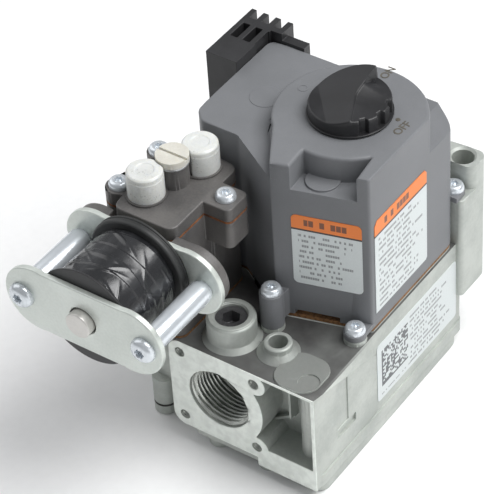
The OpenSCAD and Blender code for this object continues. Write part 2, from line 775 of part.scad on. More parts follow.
module control_knob() {
    ridge_x = knob_d * 0.08;
    color(black) at(knob_xy, knob_z) difference() {
        union() {
            cylinder(h = knob_rim_h - 1.5, r = knob_d / 2);
            translate([0, 0, knob_rim_h - 1.5 - eps]) cylinder(h = 1.5, r1 = knob_d / 2, r2 = knob_d / 2 - 1.5);
            // Wedge-shaped grip: its ridge climbs towards the pointer, its left side falls to the rim
            translate([0, 0, knob_rim_h - eps]) intersection() {
                cylinder(h = grip_h, r = knob_d / 2 - 1.6);
                rotate([90, 0, 90]) translate([0, 0, -knob_d]) linear_extrude(2 * knob_d) polygon([
                    [-knob_d / 2, 0], [-knob_d / 2, 0.6], [knob_d * 0.3, grip_h],
                    [knob_d / 2, grip_h], [knob_d / 2, 0]]);
                rotate([90, 0, 0]) translate([0, 0, -knob_d]) linear_extrude(2 * knob_d) polygon([
                    [-knob_d / 2, 0], [-knob_d / 2, 0.6], [0, grip_h], [ridge_x, grip_h], [ridge_x + 0.6, 0]]);
            }
        }
        // Hollow underside round the shaft boss
        translate([0, 0, -1]) difference() {
            cylinder(h = knob_rim_h - 1, r = knob_d / 2 - 2);
            cylinder(h = knob_rim_h, r = shaft_d / 2 + 2.4);
        }
        translate([0, 0, -1]) cylinder(h = knob_rim_h + 1, r = shaft_d / 2);
        // Flutes round the rim
        for (a = [0 : 20 : 340]) rotate(a) translate([knob_d / 2 + 1.2, 0, -1]) cylinder(h = 30, r = 2);
    }
}

module knob_shaft() {
    color(steel) at(knob_xy, bearing_z - 6) cylinder(h = knob_z + knob_rim_h - 1 - bearing_z + 6, r = shaft_d / 2);
}

module shaft_seal() {
    color(rubber) at(knob_xy, top_z - 1.95) tube(1.8, shaft_d / 2 + 1.95, shaft_d / 2 + fit);
}

cam_z = bearing_z - 5.5;
cam_h = 4;

// Cam on the shaft: round, with one raised lobe that works the switch
module switch_cam() {
    color(milky) at(knob_xy, cam_z) difference() {
        union() {
            cylinder(h = cam_h, r = shaft_d / 2 + 2.5);
            translate([1.4, 0, 0]) cylinder(h = cam_h, r = shaft_d / 2 + 2.2);
        }
        translate([0, 0, -1]) cylinder(h = cam_h + 2, r = shaft_d / 2);
    }
}

button_x = knob_xy[0] + shaft_d / 2 + 3.6 + gap;
button_travel = 1.2;

module switch_button() {
    color(milky) translate([button_x, knob_xy[1], cam_z + cam_h / 2]) rotate([0, 90, 0]) cylinder(h = 5, r = 1.5);
}

module safety_switch() {
    x0 = button_x + 2.2;
    color(black) difference() {
        translate([x0, knob_xy[1] - 6, cam_z - 6]) cube([9, 12, 14]);
        translate([x0 - 1, knob_xy[1], cam_z + cam_h / 2]) rotate([0, 90, 0])
            cylinder(h = 6, r = 1.5 + fit);
    }
}

// ---------------------------------------------------------------- terminals
block_x = -cover_left - 0.05;
block_w = 14;
block_y = cover_rear - 23;
block_len = 31;
block_z = top_z - 26;
block_h = 23;

module terminal_block() {
    x0 = block_x - block_w;
    pitch = 5.6;
    color(black) difference() {
        union() {
            translate([x0, block_y, block_z]) cube([block_w, block_len, block_h]);
            translate([block_x - eps, cover_rear + 0.1, block_z]) cube([5, block_len - 23.1, block_h]);
            translate([block_x - eps, cover_rear + 0.1, block_z]) cube([15, 4, block_h - 3]);
        }
        // Slots between the fins, and the three sockets in the top
        for (i = [0 : 2]) {
            translate([x0 + 2.2 + i * pitch, cover_rear + 3, block_z - 1]) cube([3.2, 20, block_h + 2]);
            translate([x0 + 2.2 + i * pitch, block_y + 13, block_z + 6]) cube([3.2, 9, block_h]);
        }
        translate([block_x - 3, block_y + 5.4, block_z + 4.4]) cube([5, 15.2, 13.2]);
    }
}

module terminal_pins() {
    x0 = block_x - block_w;
    color(zinc) for (i = [0 : 2]) {
        translate([x0 + 3.4 + i * 5.6, block_y + 14.4, block_z + 6]) cube([0.8, 6.3, 9]);
    }
}

// ---------------------------------------------------------------- labels
label_t = 0.2;

module front_label() {
    start = cover_corner + 3.2 * face_dir;
    angle = atan2(face_dir[1], face_dir[0]);
    color(label_white) translate([start[0], start[1], deck + 18.8]) rotate([0, 0, angle])
        translate([0, 0, 0]) along_y(0.02, label_t + 0.02) rrect([0, 0], [26.7, 33], 2);
}

module side_label() {
    color(label_white) translate([cover_right + 0.02, 0, 0]) rotate([90, 0, 90]) linear_extrude(label_t)
        polygon([[43.8, 30], [78.5, 30], [79.3, 31], [79.3, 72.5], [78, 74], [45.5, 74], [43.8, 72]]);
}

module body_label() {
    color(label_white) translate([body_right + 0.02, 0, 0]) rotate([90, 0, 90]) linear_extrude(label_t)
        rrect([42.6, -15.5], [99.5, 13.6], 1.5);
}

// ---------------------------------------------------------------- regulator
module reg_plan() {
    rrect([reg_left, reg_front], [reg_right, reg_front + reg_len], 4);
}

module ears_2d() {
    rrect([reg_right - 6, right_ear[1] - ear_r], [right_ear[0] + ear_r - 0.5, right_ear[1] + ear_r], 2.6);
    translate(left_ear) circle(r = ear_r - 1);
    translate([left_ear[0], left_ear[1] - ear_r + 2]) square([reg_left - left_ear[0] + 5, 2 * ear_r - 4]);
    translate(rear_ear) circle(r = ear_r - 1.6);
    translate([rear_ear[0], rear_ear[1] - ear_r + 2.6]) square([reg_left - rear_ear[0] + 5, 2 * ear_r - 5.2]);
}

// Outline of a coil plate: a bar with round ends, a little waisted
module plate_2d(grow = 0) {
    end_x = bolt_pitch / 2 - 6.4;
    for (s = [-1, 1]) translate([-coil_x + s * end_x, coil_z]) circle(r = plate_h / 2 + grow);
    translate([-coil_x - end_x, coil_z - plate_h / 2 + 0.3 - grow])
        square([2 * end_x, plate_h - 0.6 + 2 * grow]);
}

module regulator_base() {
    color(dull_cast) difference() {
        union() {
            translate([0, 0, reg_foot]) linear_extrude(reg_top - reg_foot) reg_plan();
            translate([0, 0, reg_top - ear_drop]) linear_extrude(ear_drop) ears_2d();
            along_y(plate_back, reg_front + 1.8) difference() {
                plate_2d(-1.2);
                translate([reg_left - gap, reg_top]) square([reg_w + 2 * gap, 40]);
            }
            // Rib down the right wall
            translate([reg_right - 1, reg_front + reg_len - 20, reg_foot]) cube([2.2, 2.4, reg_top - ear_drop - reg_foot]);
            translate([reg_left - 1.5, reg_front + 22, reg_foot]) cube([3, 2.4, reg_top - 14 - reg_foot]);
        }
        // Bore for the stage plunger and the servo chamber
        y_rod(-coil_x, coil_z, plate_back - 1, reg_front + 14, stage_r + 0.6);
        at(mid_xy, reg_top - 16) cylinder(h = 20, r = 7.5);
        at(mid_xy, reg_foot - 1) cylinder(h = 60, r = 2.4);
        for (p = base_screws_xy) {
            at(p, reg_foot - 1) cylinder(h = 60, r = screw_shank_r + 0.3);
            at(p, reg_foot + 8) cylinder(h = 60, r = screw_head_r + 0.2);
        }
        for (p = ears) at(p, reg_top - ear_drop - 1) cylinder(h = 20, r = 1.8 + fit);
        for (x = bolt_x) y_rod(x, coil_z, plate_back - 1, reg_front + 10, bolt_r + 0.05);
    }
}

module regulator_gasket() {
    color(brown) translate([0, 0, deck]) linear_extrude(reg_gasket_t) difference() {
        reg_plan();
        for (p = base_screws_xy) translate(p) circle(r = screw_shank_r + 0.3);
        translate(mid_xy) circle(r = 2.6);
    }
}

module regulator_base_screws() {
    color(steel) for (p = base_screws_xy) at(p, reg_foot + 8.05) pan_screw(8.05 + reg_gasket_t + 7);
}

module regulator_diaphragm() {
    color([0.72, 0.36, 0.14]) translate([0, 0, reg_top]) linear_extrude(sheet_t) difference() {
        union() {
            reg_plan();
            ears_2d();
        }
        for (p = ears) translate(p) circle(r = 1.8 + 0.2);
    }
}

module row_2d(r) {
    hull_free_bar(high_xy, low_xy, r);
}

// Bar with round ends between two points
module hull_free_bar(a, b, r) {
    d = (b - a) / norm(b - a);
    n = [-d[1], d[0]] * r;
    translate(a) circle(r = r);
    translate(b) circle(r = r);
    polygon([a + n, a - n, b - n, b + n]);
}

module regulator_plate() {
    color(steel) translate([0, 0, housing_z + 0.1]) linear_extrude(0.8) row_2d(5);
}

module regulator_housing() {
    color(dull_cast) difference() {
        union() {
            translate([0, 0, housing_z]) linear_extrude(housing_t) union() {
                reg_plan();
                ears_2d();
            }
            for (p = [high_xy, low_xy]) at(p, housing_top - eps) cylinder(h = cap_h - 3.5, r = turret_r);
            for (p = [high_xy, low_xy]) at(p, housing_top - eps) cylinder(h = 0.8, r = cap_d / 2 + 0.7);
            at(mid_xy, housing_top - eps) cylinder(h = cap_h - 2, r = mid_turret_r);
        }
        translate([0, 0, housing_z - 1]) linear_extrude(cavity_h + 1) row_2d(5.6);
        for (p = [high_xy, low_xy]) at(p, housing_z - 1) cylinder(h = 40, r = adjuster_d / 2);
        at(mid_xy, housing_z - 1) cylinder(h = 40, r = 3.4);
        for (p = ears) at(p, housing_z - 1) cylinder(h = 20, r = 1.8 + 0.2);
    }
}

module regulator_screws() {
    color(zinc) for (p = ears) at(p, housing_top + 0.05)
        pan_screw(housing_t + sheet_t + ear_drop - 1, shank = 1.8);
}

// Thin press-on cap with a bite out of the side next to the middle turret
module turret_cap(p) {
    at(p, housing_top + 0.85) difference() {
        cylinder(h = cap_h - 0.85, r = cap_d / 2);
        translate([0, 0, -1]) cylinder(h = cap_h - 0.85 - 0.6, r = turret_r + fit);
        at(mid_xy - p, -1) cylinder(h = 40, r = mid_head_r + gap);
    }
}

module high_cap() {
    color(milky) turret_cap(high_xy);
}

module low_cap() {
    color(milky) turret_cap(low_xy);
}

module centre_plug() {
    z = housing_top + cap_h - 2 + 0.1;
    color(milky) at(mid_xy, z) difference() {
        union() {
            cylinder(h = 2.8, r = mid_head_r);
            translate([0, 0, -9]) cylinder(h = 9.1, r = 3.4 - fit);
        }
        translate([-mid_head_r, -0.6, 1.8]) cube([2 * mid_head_r, 1.2, 2]);
    }
}

adjuster_h = 4;
adjuster_z = housing_top + cap_h - 3.5 - adjuster_h - 1;

module adjuster() {
    difference() {
        cylinder(h = adjuster_h, r = adjuster_d / 2 - fit);
        translate([-adjuster_d, -0.5, adjuster_h - 1.2]) cube([2 * adjuster_d, 1, 2]);
    }
}

module high_adjuster() {
    color(milky) at(high_xy, adjuster_z) adjuster();
}

module low_adjuster() {
    color(milky) at(low_xy, adjuster_z) adjuster();
}

module high_spring() {
    color(steel) at(high_xy, housing_z + 1) coil_spring(2.5, 0.35, adjuster_z - housing_z - 1.1, 7);
}

module low_spring() {
    color(steel) at(low_xy, housing_z + 1) coil_spring(2.5, 0.35, adjuster_z - housing_z - 1.1, 7);
}

// ---------------------------------------------------------------- two-stage coil
module coil_plate(y, hole) {
    difference() {
        along_y(y, y + plate_t) plate_2d();
        for (x = bolt_x) y_rod(x, coil_z, y - 1, y + plate_t + 1, bolt_r + 0.2);
        y_rod(-coil_x, coil_z, y - 1, y + plate_t + 1, hole);
    }
}

module coil_front_plate() {
    color(zinc) coil_plate(coil_face, pin_r + 0.5);
}

module coil_rear_plate() {
    color(zinc) coil_plate(rear_plate_y, stage_r + 0.6);
}

module coil_spacers() {
    color(zinc) for (x = bolt_x) difference() {
        y_rod(x, coil_z, front_plate_y, rear_plate_y, spacer_d / 2);
        y_rod(x, coil_z, front_plate_y - 1, rear_plate_y + 1, bolt_r + 0.2);
    }
}

module coil_bolts() {
    color(zinc) for (x = bolt_x) translate([x, coil_face, coil_z]) rotate([-90, 0, 0]) {
        cylinder(h = coil_len + 2 * plate_t + 6, r = bolt_r);
        difference() {
            translate([0, 0, -bolt_head_h]) cylinder(h = bolt_head_h, r1 = bolt_head_r * 0.55, r2 = bolt_head_r);
            translate([0, 0, -bolt_head_h - 1]) cylinder(h = 2.6, r = 1.9, $fn = 6);
        }
    }
}

module coil_bobbin() {
    r = winding_d / 2;
    color(black) translate([-coil_x, front_plate_y, coil_z]) rotate([-90, 0, 0]) difference() {
        union() {
            cylinder(h = 1.6, r = r);
            cylinder(h = coil_len - 4, r = tube_bore_r + 1.4);
        }
        translate([0, 0, -1]) cylinder(h = coil_len + 2, r = tube_bore_r);
    }
}

module coil_winding() {
    color(black) translate([-coil_x, front_plate_y + 1.6, coil_z]) rotate([-90, 0, 0])
        tube(coil_len - 5.6 - 0.05, winding_d / 2 - 1.6, tube_bore_r + 1.4);
}

module coil_ring() {
    color(rubber) translate([-coil_x, rear_plate_y - 4, coil_z]) rotate([-90, 0, 0])
        tube(4, winding_d / 2 - 0.2, stage_r + 0.8);
}

module pole_pin() {
    color(steel) translate([-coil_x, coil_face - pin_out, coil_z]) rotate([-90, 0, 0])
        cylinder(h = pin_out + plate_t + 11, r = pin_r);
}

module stage_plunger() {
    y0 = coil_face + plate_t + 11 + 2.6;
    color(steel) difference() {
        union() {
            y_rod(-coil_x, coil_z, y0, reg_front + 6, stage_r);
            y_rod(-coil_x, coil_z, reg_front + 5.9, reg_front + 10, 1.5);
        }
        // Bore that takes the spring at the end of the stroke
        y_rod(-coil_x, coil_z, y0 - 1, y0 + 3.9, 3.1);
    }
}

module stage_spring() {
    color(steel) translate([-coil_x, coil_face + plate_t + 11 + 0.1, coil_z]) rotate([-90, 0, 0])
        coil_spring(2.3, 0.35, 4, 3);
}

valve_body();
bottom_cover();
bottom_screws();
main_diaphragm();
diaphragm_plate();
valve_stem();
main_valve_disc();
main_spring();
inlet_screen();
tap_plug();
body_gasket();
top_plate();
safety_coil();
safety_frame();
safety_tube();
safety_plunger();
safety_spring();
safety_valve_disc();
operator_coil();
operator_frame();
operator_plunger();
operator_spring();
cover();
cover_screws();
control_knob();
knob_shaft();
shaft_seal();
switch_cam();
safety_switch();
switch_button();
terminal_block();
terminal_pins();
front_label();
side_label();
body_label();
regulator_base();
regulator_gasket();
regulator_base_screws();
regulator_diaphragm();
regulator_plate();
regulator_housing();
regulator_screws();
high_cap();
low_cap();
centre_plug();
high_adjuster();
low_adjuster();
high_spring();
low_spring();
coil_front_plate();
coil_rear_plate();
coil_spacers();
coil_bolts();
coil_bobbin();
coil_winding();
coil_ring();
pole_pin();
stage_plunger();
stage_spring();
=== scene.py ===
"""Two-stage gas valve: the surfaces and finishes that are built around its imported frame.

Every length inside the classes is in millimetres, and Shape.place turns it into metres. The frame
has its origin at the centre of the front port, +X to the right, +Y back along the gas flow, +Z up.
"""

from __future__ import annotations

import json
import logging
import math
from dataclasses import dataclass, field
from enum import Enum
from typing import Any, Callable, Sequence, Union

import bmesh
import bpy
import numpy as np
from mathutils import Matrix, Vector
from mathutils.bvhtree import BVHTree


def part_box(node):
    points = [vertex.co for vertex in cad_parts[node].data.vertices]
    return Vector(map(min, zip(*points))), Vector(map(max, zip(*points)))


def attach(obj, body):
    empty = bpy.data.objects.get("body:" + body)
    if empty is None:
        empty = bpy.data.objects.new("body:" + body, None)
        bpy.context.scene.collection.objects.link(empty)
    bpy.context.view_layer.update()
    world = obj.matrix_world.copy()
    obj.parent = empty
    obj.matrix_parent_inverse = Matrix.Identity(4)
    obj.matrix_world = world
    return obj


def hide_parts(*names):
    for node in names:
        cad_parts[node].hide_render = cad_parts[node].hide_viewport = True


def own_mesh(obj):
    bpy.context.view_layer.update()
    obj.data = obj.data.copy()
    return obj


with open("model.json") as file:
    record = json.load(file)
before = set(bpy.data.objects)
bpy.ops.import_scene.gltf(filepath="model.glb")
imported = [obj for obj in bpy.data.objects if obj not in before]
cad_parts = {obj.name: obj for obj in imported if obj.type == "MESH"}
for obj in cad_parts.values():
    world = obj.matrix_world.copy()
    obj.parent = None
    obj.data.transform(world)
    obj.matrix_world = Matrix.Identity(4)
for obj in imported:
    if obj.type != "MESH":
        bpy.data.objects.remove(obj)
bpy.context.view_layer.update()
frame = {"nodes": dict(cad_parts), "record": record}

LOG = logging.getLogger("gas_valve")
MM = 0.001
BEVEL_ROUNDS = 8
MERGE_M = 2e-6
FLAT_DEG = 0.6
STRAY_SHARE = 0.33
CALM_REACH = 2.0
CALM_SHARE = 0.45
CALM_FLOOR = 0.06
Array = np.ndarray
Rule = Callable[[Array], Array]
Triple = tuple[float, float, float]


# ------------------------------------------------------------------ shader graph
class Value:
    """A node's output whose arithmetic adds Math nodes to its graph."""

    def __init__(self, graph: "Graph", socket: bpy.types.NodeSocket) -> None:
        """Wraps a socket of a graph."""
        self.graph = graph
        self.socket = socket

    def math(self, operation: str, other: "Number" = 0.0, swap: bool = False) -> "Value":
        """Adds one Math node.

        Args:
            operation: The node's operation.
            other: The second operand.
            swap: Whether the operands change places.

        Returns:
            The node's result.
        """
        pair = (other, self) if swap else (self, other)
        return self.graph.node("ShaderNodeMath", {"operation": operation}, {0: pair[0], 1: pair[1]})

    def __add__(self, other: "Number") -> "Value":
        """Sum."""
        return self.math("ADD", other)

    __radd__ = __add__

    def __mul__(self, other: "Number") -> "Value":
        """Product."""
        return self.math("MULTIPLY", other)

    __rmul__ = __mul__

    def __sub__(self, other: "Number") -> "Value":
        """Difference."""
        return self.math("SUBTRACT", other)

    def __rsub__(self, other: "Number") -> "Value":
        """Difference with the operands swapped."""
        return self.math("SUBTRACT", other, swap=True)

    def __truediv__(self, other: "Number") -> "Value":
        """Quotient."""
        return self.math("DIVIDE", other)

    def __gt__(self, other: "Number") -> "Value":
        """1 where this is greater."""
        return self.math("GREATER_THAN", other)

    def __lt__(self, other: "Number") -> "Value":
        """1 where this is less."""
        return self.math("LESS_THAN", other)

    def floor(self) -> "Value":
        """Whole part."""
        return self.math("FLOOR")

    def fraction(self) -> "Value":
        """Part after the point."""
        return self.math("FRACT")

    def within(self, low: float, high: float) -> "Value":
        """1 between two limits."""
        return (self > low) * (self < high)

    def smooth(self, low: float, high: float) -> "Value":
        """Eases from 0 at low to 1 at high."""
        return self.graph.node(
            "ShaderNodeMapRange",
            {"interpolation_type": "SMOOTHSTEP"},
            {0: self, 1: low, 2: high, 3: 0.0, 4: 1.0},
        )


Number = Union[float, Value]
Colour = Union[Triple, Value]


class Graph:
    """One material's node tree, with a Principled shader as its surface."""

    def __init__(self, name: str) -> None:
        """Makes the material and clears its tree."""
        self.material = bpy.data.materials.new(name)
        self.material.use_nodes = True
        self.tree = self.material.node_tree
        self.tree.nodes.clear()
        self.shader = self.tree.nodes.new("ShaderNodeBsdfPrincipled")
        end = self.tree.nodes.new("ShaderNodeOutputMaterial")
        self.tree.links.new(self.shader.outputs[0], end.inputs[0])

    def feed(self, socket: bpy.types.NodeSocket, value: Any) -> None:
        """Links a Value to a socket, or sets the socket's constant."""
        if isinstance(value, Value):
            self.tree.links.new(value.socket, socket)
        elif isinstance(value, (tuple, list)) and len(socket.default_value) == 4:
            socket.default_value = (*value[:3], 1.0)
        else:
            socket.default_value = value

    def node(
        self,
        kind: str,
        settings: dict[str, Any] | None = None,
        inputs: dict[int | str, Any] | None = None,
        out: int | str = 0,
    ) -> Value:
        """Adds a node.

        Args:
            kind: The node's type.
            settings: Properties that are set before its sockets.
            inputs: Constants or links of its sockets, by name or index.
            out: The output that is wrapped.

        Returns:
            The wrapped output.
        """
        made = self.tree.nodes.new(kind)
        for key, value in (settings or {}).items():
            setattr(made, key, value)
        for key, value in (inputs or {}).items():
            self.feed(made.inputs[key], value)
        return Value(self, made.outputs[out])

    def place(self) -> Value:
        """Object coordinates, in metres."""
        return self.node("ShaderNodeTexCoord", out="Object")

    def axes(self) -> tuple[Value, Value, Value]:
        """The three Object coordinates, in millimetres."""
        scaled = self.node("ShaderNodeVectorMath", {"operation": "SCALE"}, {0: self.place(), "Scale": 1000.0})
        split = self.tree.nodes.new("ShaderNodeSeparateXYZ")
        self.feed(split.inputs[0], scaled)
        return Value(self, split.outputs[0]), Value(self, split.outputs[1]), Value(self, split.outputs[2])

    def up(self) -> Value:
        """The surface normal's upward part."""
        normal = self.node("ShaderNodeNewGeometry", out="Normal")
        return self.node("ShaderNodeSeparateXYZ", None, {0: normal}, out=2)

    def noise(
        self, per_metre: float, detail: float = 2.0, rough: float = 0.5, where: Value | None = None,
    ) -> Value:
        """Noise with a number of cells to the metre.

        Args:
            per_metre: Cells to the metre.
            detail: Octaves.
            rough: Share of each octave.
            where: Coordinates in metres, the object's own where none are given.

        Returns:
            The noise, about 0.5 in the mean.
        """
        return self.node(
            "ShaderNodeTexNoise",
            {"noise_dimensions": "3D"},
            {"Vector": where or self.place(), "Scale": per_metre, "Detail": detail, "Roughness": rough},
        )

    def mix(self, factor: Number, first: Colour, second: Colour, blend: str = "MIX") -> Value:
        """Mixes two colours by a factor."""
        made = self.tree.nodes.new("ShaderNodeMix")
        made.data_type = "RGBA"
        made.blend_type = blend
        self.feed(made.inputs[0], factor)
        self.feed(made.inputs[6], first)
        self.feed(made.inputs[7], second)
        return Value(self, made.outputs[2])

    def bump(
        self, height: Value, depth_mm: float, strength: float = 1.0, under: Value | None = None,
    ) -> Value:
        """A Bump node whose full height is depth_mm."""
        inputs: dict[int | str, Any] = {"Height": height, "Distance": depth_mm * MM, "Strength": strength}
        if under is not None:
            inputs["Normal"] = under
        return self.node("ShaderNodeBump", None, inputs)

    def surface(self, **sockets: Any) -> bpy.types.Material:
        """Sets the Principled shader's sockets, with _ for a space, and returns the material."""
        for key, value in sockets.items():
            self.feed(self.shader.inputs[key.replace("_", " ")], value)
        return self.material


# ------------------------------------------------------------------ finishes
def dimmed(colour: Triple, share: float = 0.88) -> Triple:
    """Returns a share of a colour."""
    return (colour[0] * share, colour[1] * share, colour[2] * share)


@dataclass(frozen=True)
class CastMetal:
    """Die-cast aluminium, bead-blasted, with a lighter machined front and rear face that is partly a painted
    reflection, and painted shade on the deck's upward faces under the cover.
    """

    name: str = "cast_aluminium"
    low: Triple = (0.40, 0.425, 0.40)
    high: Triple = (0.54, 0.565, 0.53)
    # Machined face colour: the real lighter machining, made lighter still as a painted reflection of the
    # bright floor.
    machined_and_reflection: Triple = (0.84, 0.88, 0.83)
    # Painted shade: the colour that the deck's upward faces are darkened to, for the shade and dark
    # reflection under the cover.
    deck_shade: Triple = (0.075, 0.073, 0.073)
    face_y: tuple[float, float] = (0.3, 126.7)
    deck_z: tuple[float, float] = (20.0, 24.2)
    pad_z: float = 21.85
    metallic: float = 0.5

    def make(self) -> bpy.types.Material:
        """Returns the material."""
        g = Graph(self.name)
        _, y, z = g.axes()
        blotch, grain, pit = g.noise(45.0, 4.0, 0.6), g.noise(700.0, 3.0), g.noise(2600.0, 2.0)
        cast = g.mix((blotch * 0.75 + grain * 0.25).smooth(0.3, 0.7), self.low, self.high)
        # Painted shade: upward faces in the deck band are mixed towards the dark deck colour, less so on the
        # raised pad.
        deck_shade = g.up().smooth(0.55, 0.9) * z.within(*self.deck_z)
        pad_shade = 1.0 - 0.4 * (z > self.pad_z)
        cast = g.mix(deck_shade * pad_shade * (0.82 + 0.6 * (blotch - 0.5)).smooth(0.2, 1.0), cast, self.deck_shade)
        # Front and rear faces: lighter for their machining, and lighter still as a painted reflection.
        machined_and_reflection = 1.0 - y.within(*self.face_y)
        streak = g.noise(240.0, 2.0, 0.5)
        cast = g.mix(machined_and_reflection, cast, g.mix(streak.smooth(0.35, 0.65), self.machined_and_reflection, dimmed(self.machined_and_reflection)))
        stain = g.noise(160.0, 5.0, 0.7).smooth(0.60, 0.74)
        cast = g.mix(stain * 0.22, cast, (0.26, 0.26, 0.235))
        rough = 0.46 + 0.16 * grain + 0.1 * deck_shade - 0.06 * machined_and_reflection
        low_relief = g.bump(blotch * 0.4 + grain, 0.06, 0.6)
        return g.surface(
            Base_Color=cast, Roughness=rough, Metallic=self.metallic,
            Normal=g.bump(pit, 0.03, 0.7, low_relief),
        )


@dataclass(frozen=True)
class PlainFinish:
    """A finish of two close colours, blotches, grain and a fine relief."""

    name: str
    low: Triple
    high: Triple
    roughness: float = 0.5
    rough_spread: float = 0.15
    metallic: float = 0.0
    blotch: float = 60.0
    grain: float = 1500.0
    relief: float = 0.02
    relief_strength: float = 0.5
    stain: float = 0.0
    stain_colour: Triple = (0.1, 0.1, 0.1)
    coat: float = 0.0
    subsurface: float = 0.0
    transmission: float = 0.0
    specular: float = 0.5

    def make(self) -> bpy.types.Material:
        """Returns the material."""
        g = Graph(self.name)
        blotch, grain = g.noise(self.blotch, 4.0, 0.6), g.noise(self.grain, 2.0)
        colour = g.mix((blotch * 0.7 + grain * 0.3).smooth(0.32, 0.68), self.low, self.high)
        if self.stain:
            stain = g.noise(self.blotch * 3.5, 5.0, 0.7).smooth(0.56, 0.72)
            colour = g.mix(stain * self.stain, colour, self.stain_colour)
        rough = self.roughness + self.rough_spread * (grain + blotch - 1.0)
        g.surface(
            Base_Color=colour, Roughness=rough, Metallic=self.metallic, Coat_Weight=self.coat,
            Coat_Roughness=0.15, Specular_IOR_Level=self.specular, Transmission_Weight=self.transmission,
            Normal=g.bump(grain, self.relief, self.relief_strength),
        )
        if self.subsurface:
            g.surface(
                Subsurface_Weight=self.subsurface, Subsurface_Radius=(1.0, 0.9, 0.7),
                Subsurface_Scale=0.003,
            )
        return g.material


@dataclass(frozen=True)
class TapeVinyl:
    """Glossy black vinyl tape: stretched creases, and edges that catch the light."""

    name: str = "vinyl_tape"
    low: Triple = (0.013, 0.0135, 0.015)
    high: Triple = (0.034, 0.035, 0.038)

    def make(self) -> bpy.types.Material:
        """Returns the material."""
        g = Graph(self.name)
        drawn = g.node(
            "ShaderNodeMapping", None,
            {"Vector": g.place(), "Rotation": (0.5, 0.3, 0.6), "Scale": (1.0, 0.35, 1.0)},
        )
        crease, fine = g.noise(130.0, 3.0, 0.5, drawn), g.noise(900.0, 2.0)
        colour = g.mix(crease.smooth(0.35, 0.7), self.low, self.high)
        relief = g.bump(crease, 0.5, 0.55)
        return g.surface(
            Base_Color=colour, Roughness=0.17 + 0.12 * fine, Specular_IOR_Level=0.7,
            Normal=g.bump(fine, 0.01, 0.4, relief),
        )


@dataclass(frozen=True)
class GasketFibre:
    """Pressed brown fibre with darker flecks."""

    name: str = "gasket_fibre"
    low: Triple = (0.11, 0.055, 0.025)
    high: Triple = (0.30, 0.15, 0.06)

    def make(self) -> bpy.types.Material:
        """Returns the material."""
        g = Graph(self.name)
        fleck, cloud = g.noise(900.0, 4.0, 0.7), g.noise(120.0, 3.0)
        colour = g.mix((fleck * 0.6 + cloud * 0.4).smooth(0.38, 0.62), self.low, self.high)
        return g.surface(Base_Color=colour, Roughness=0.75 + 0.15 * fleck, Normal=g.bump(fleck, 0.08, 0.8))


class Print(Enum):
    """How the space under a label's header is filled."""

    LINES = "lines"
    LINES_AND_BLOCK = "lines_and_block"


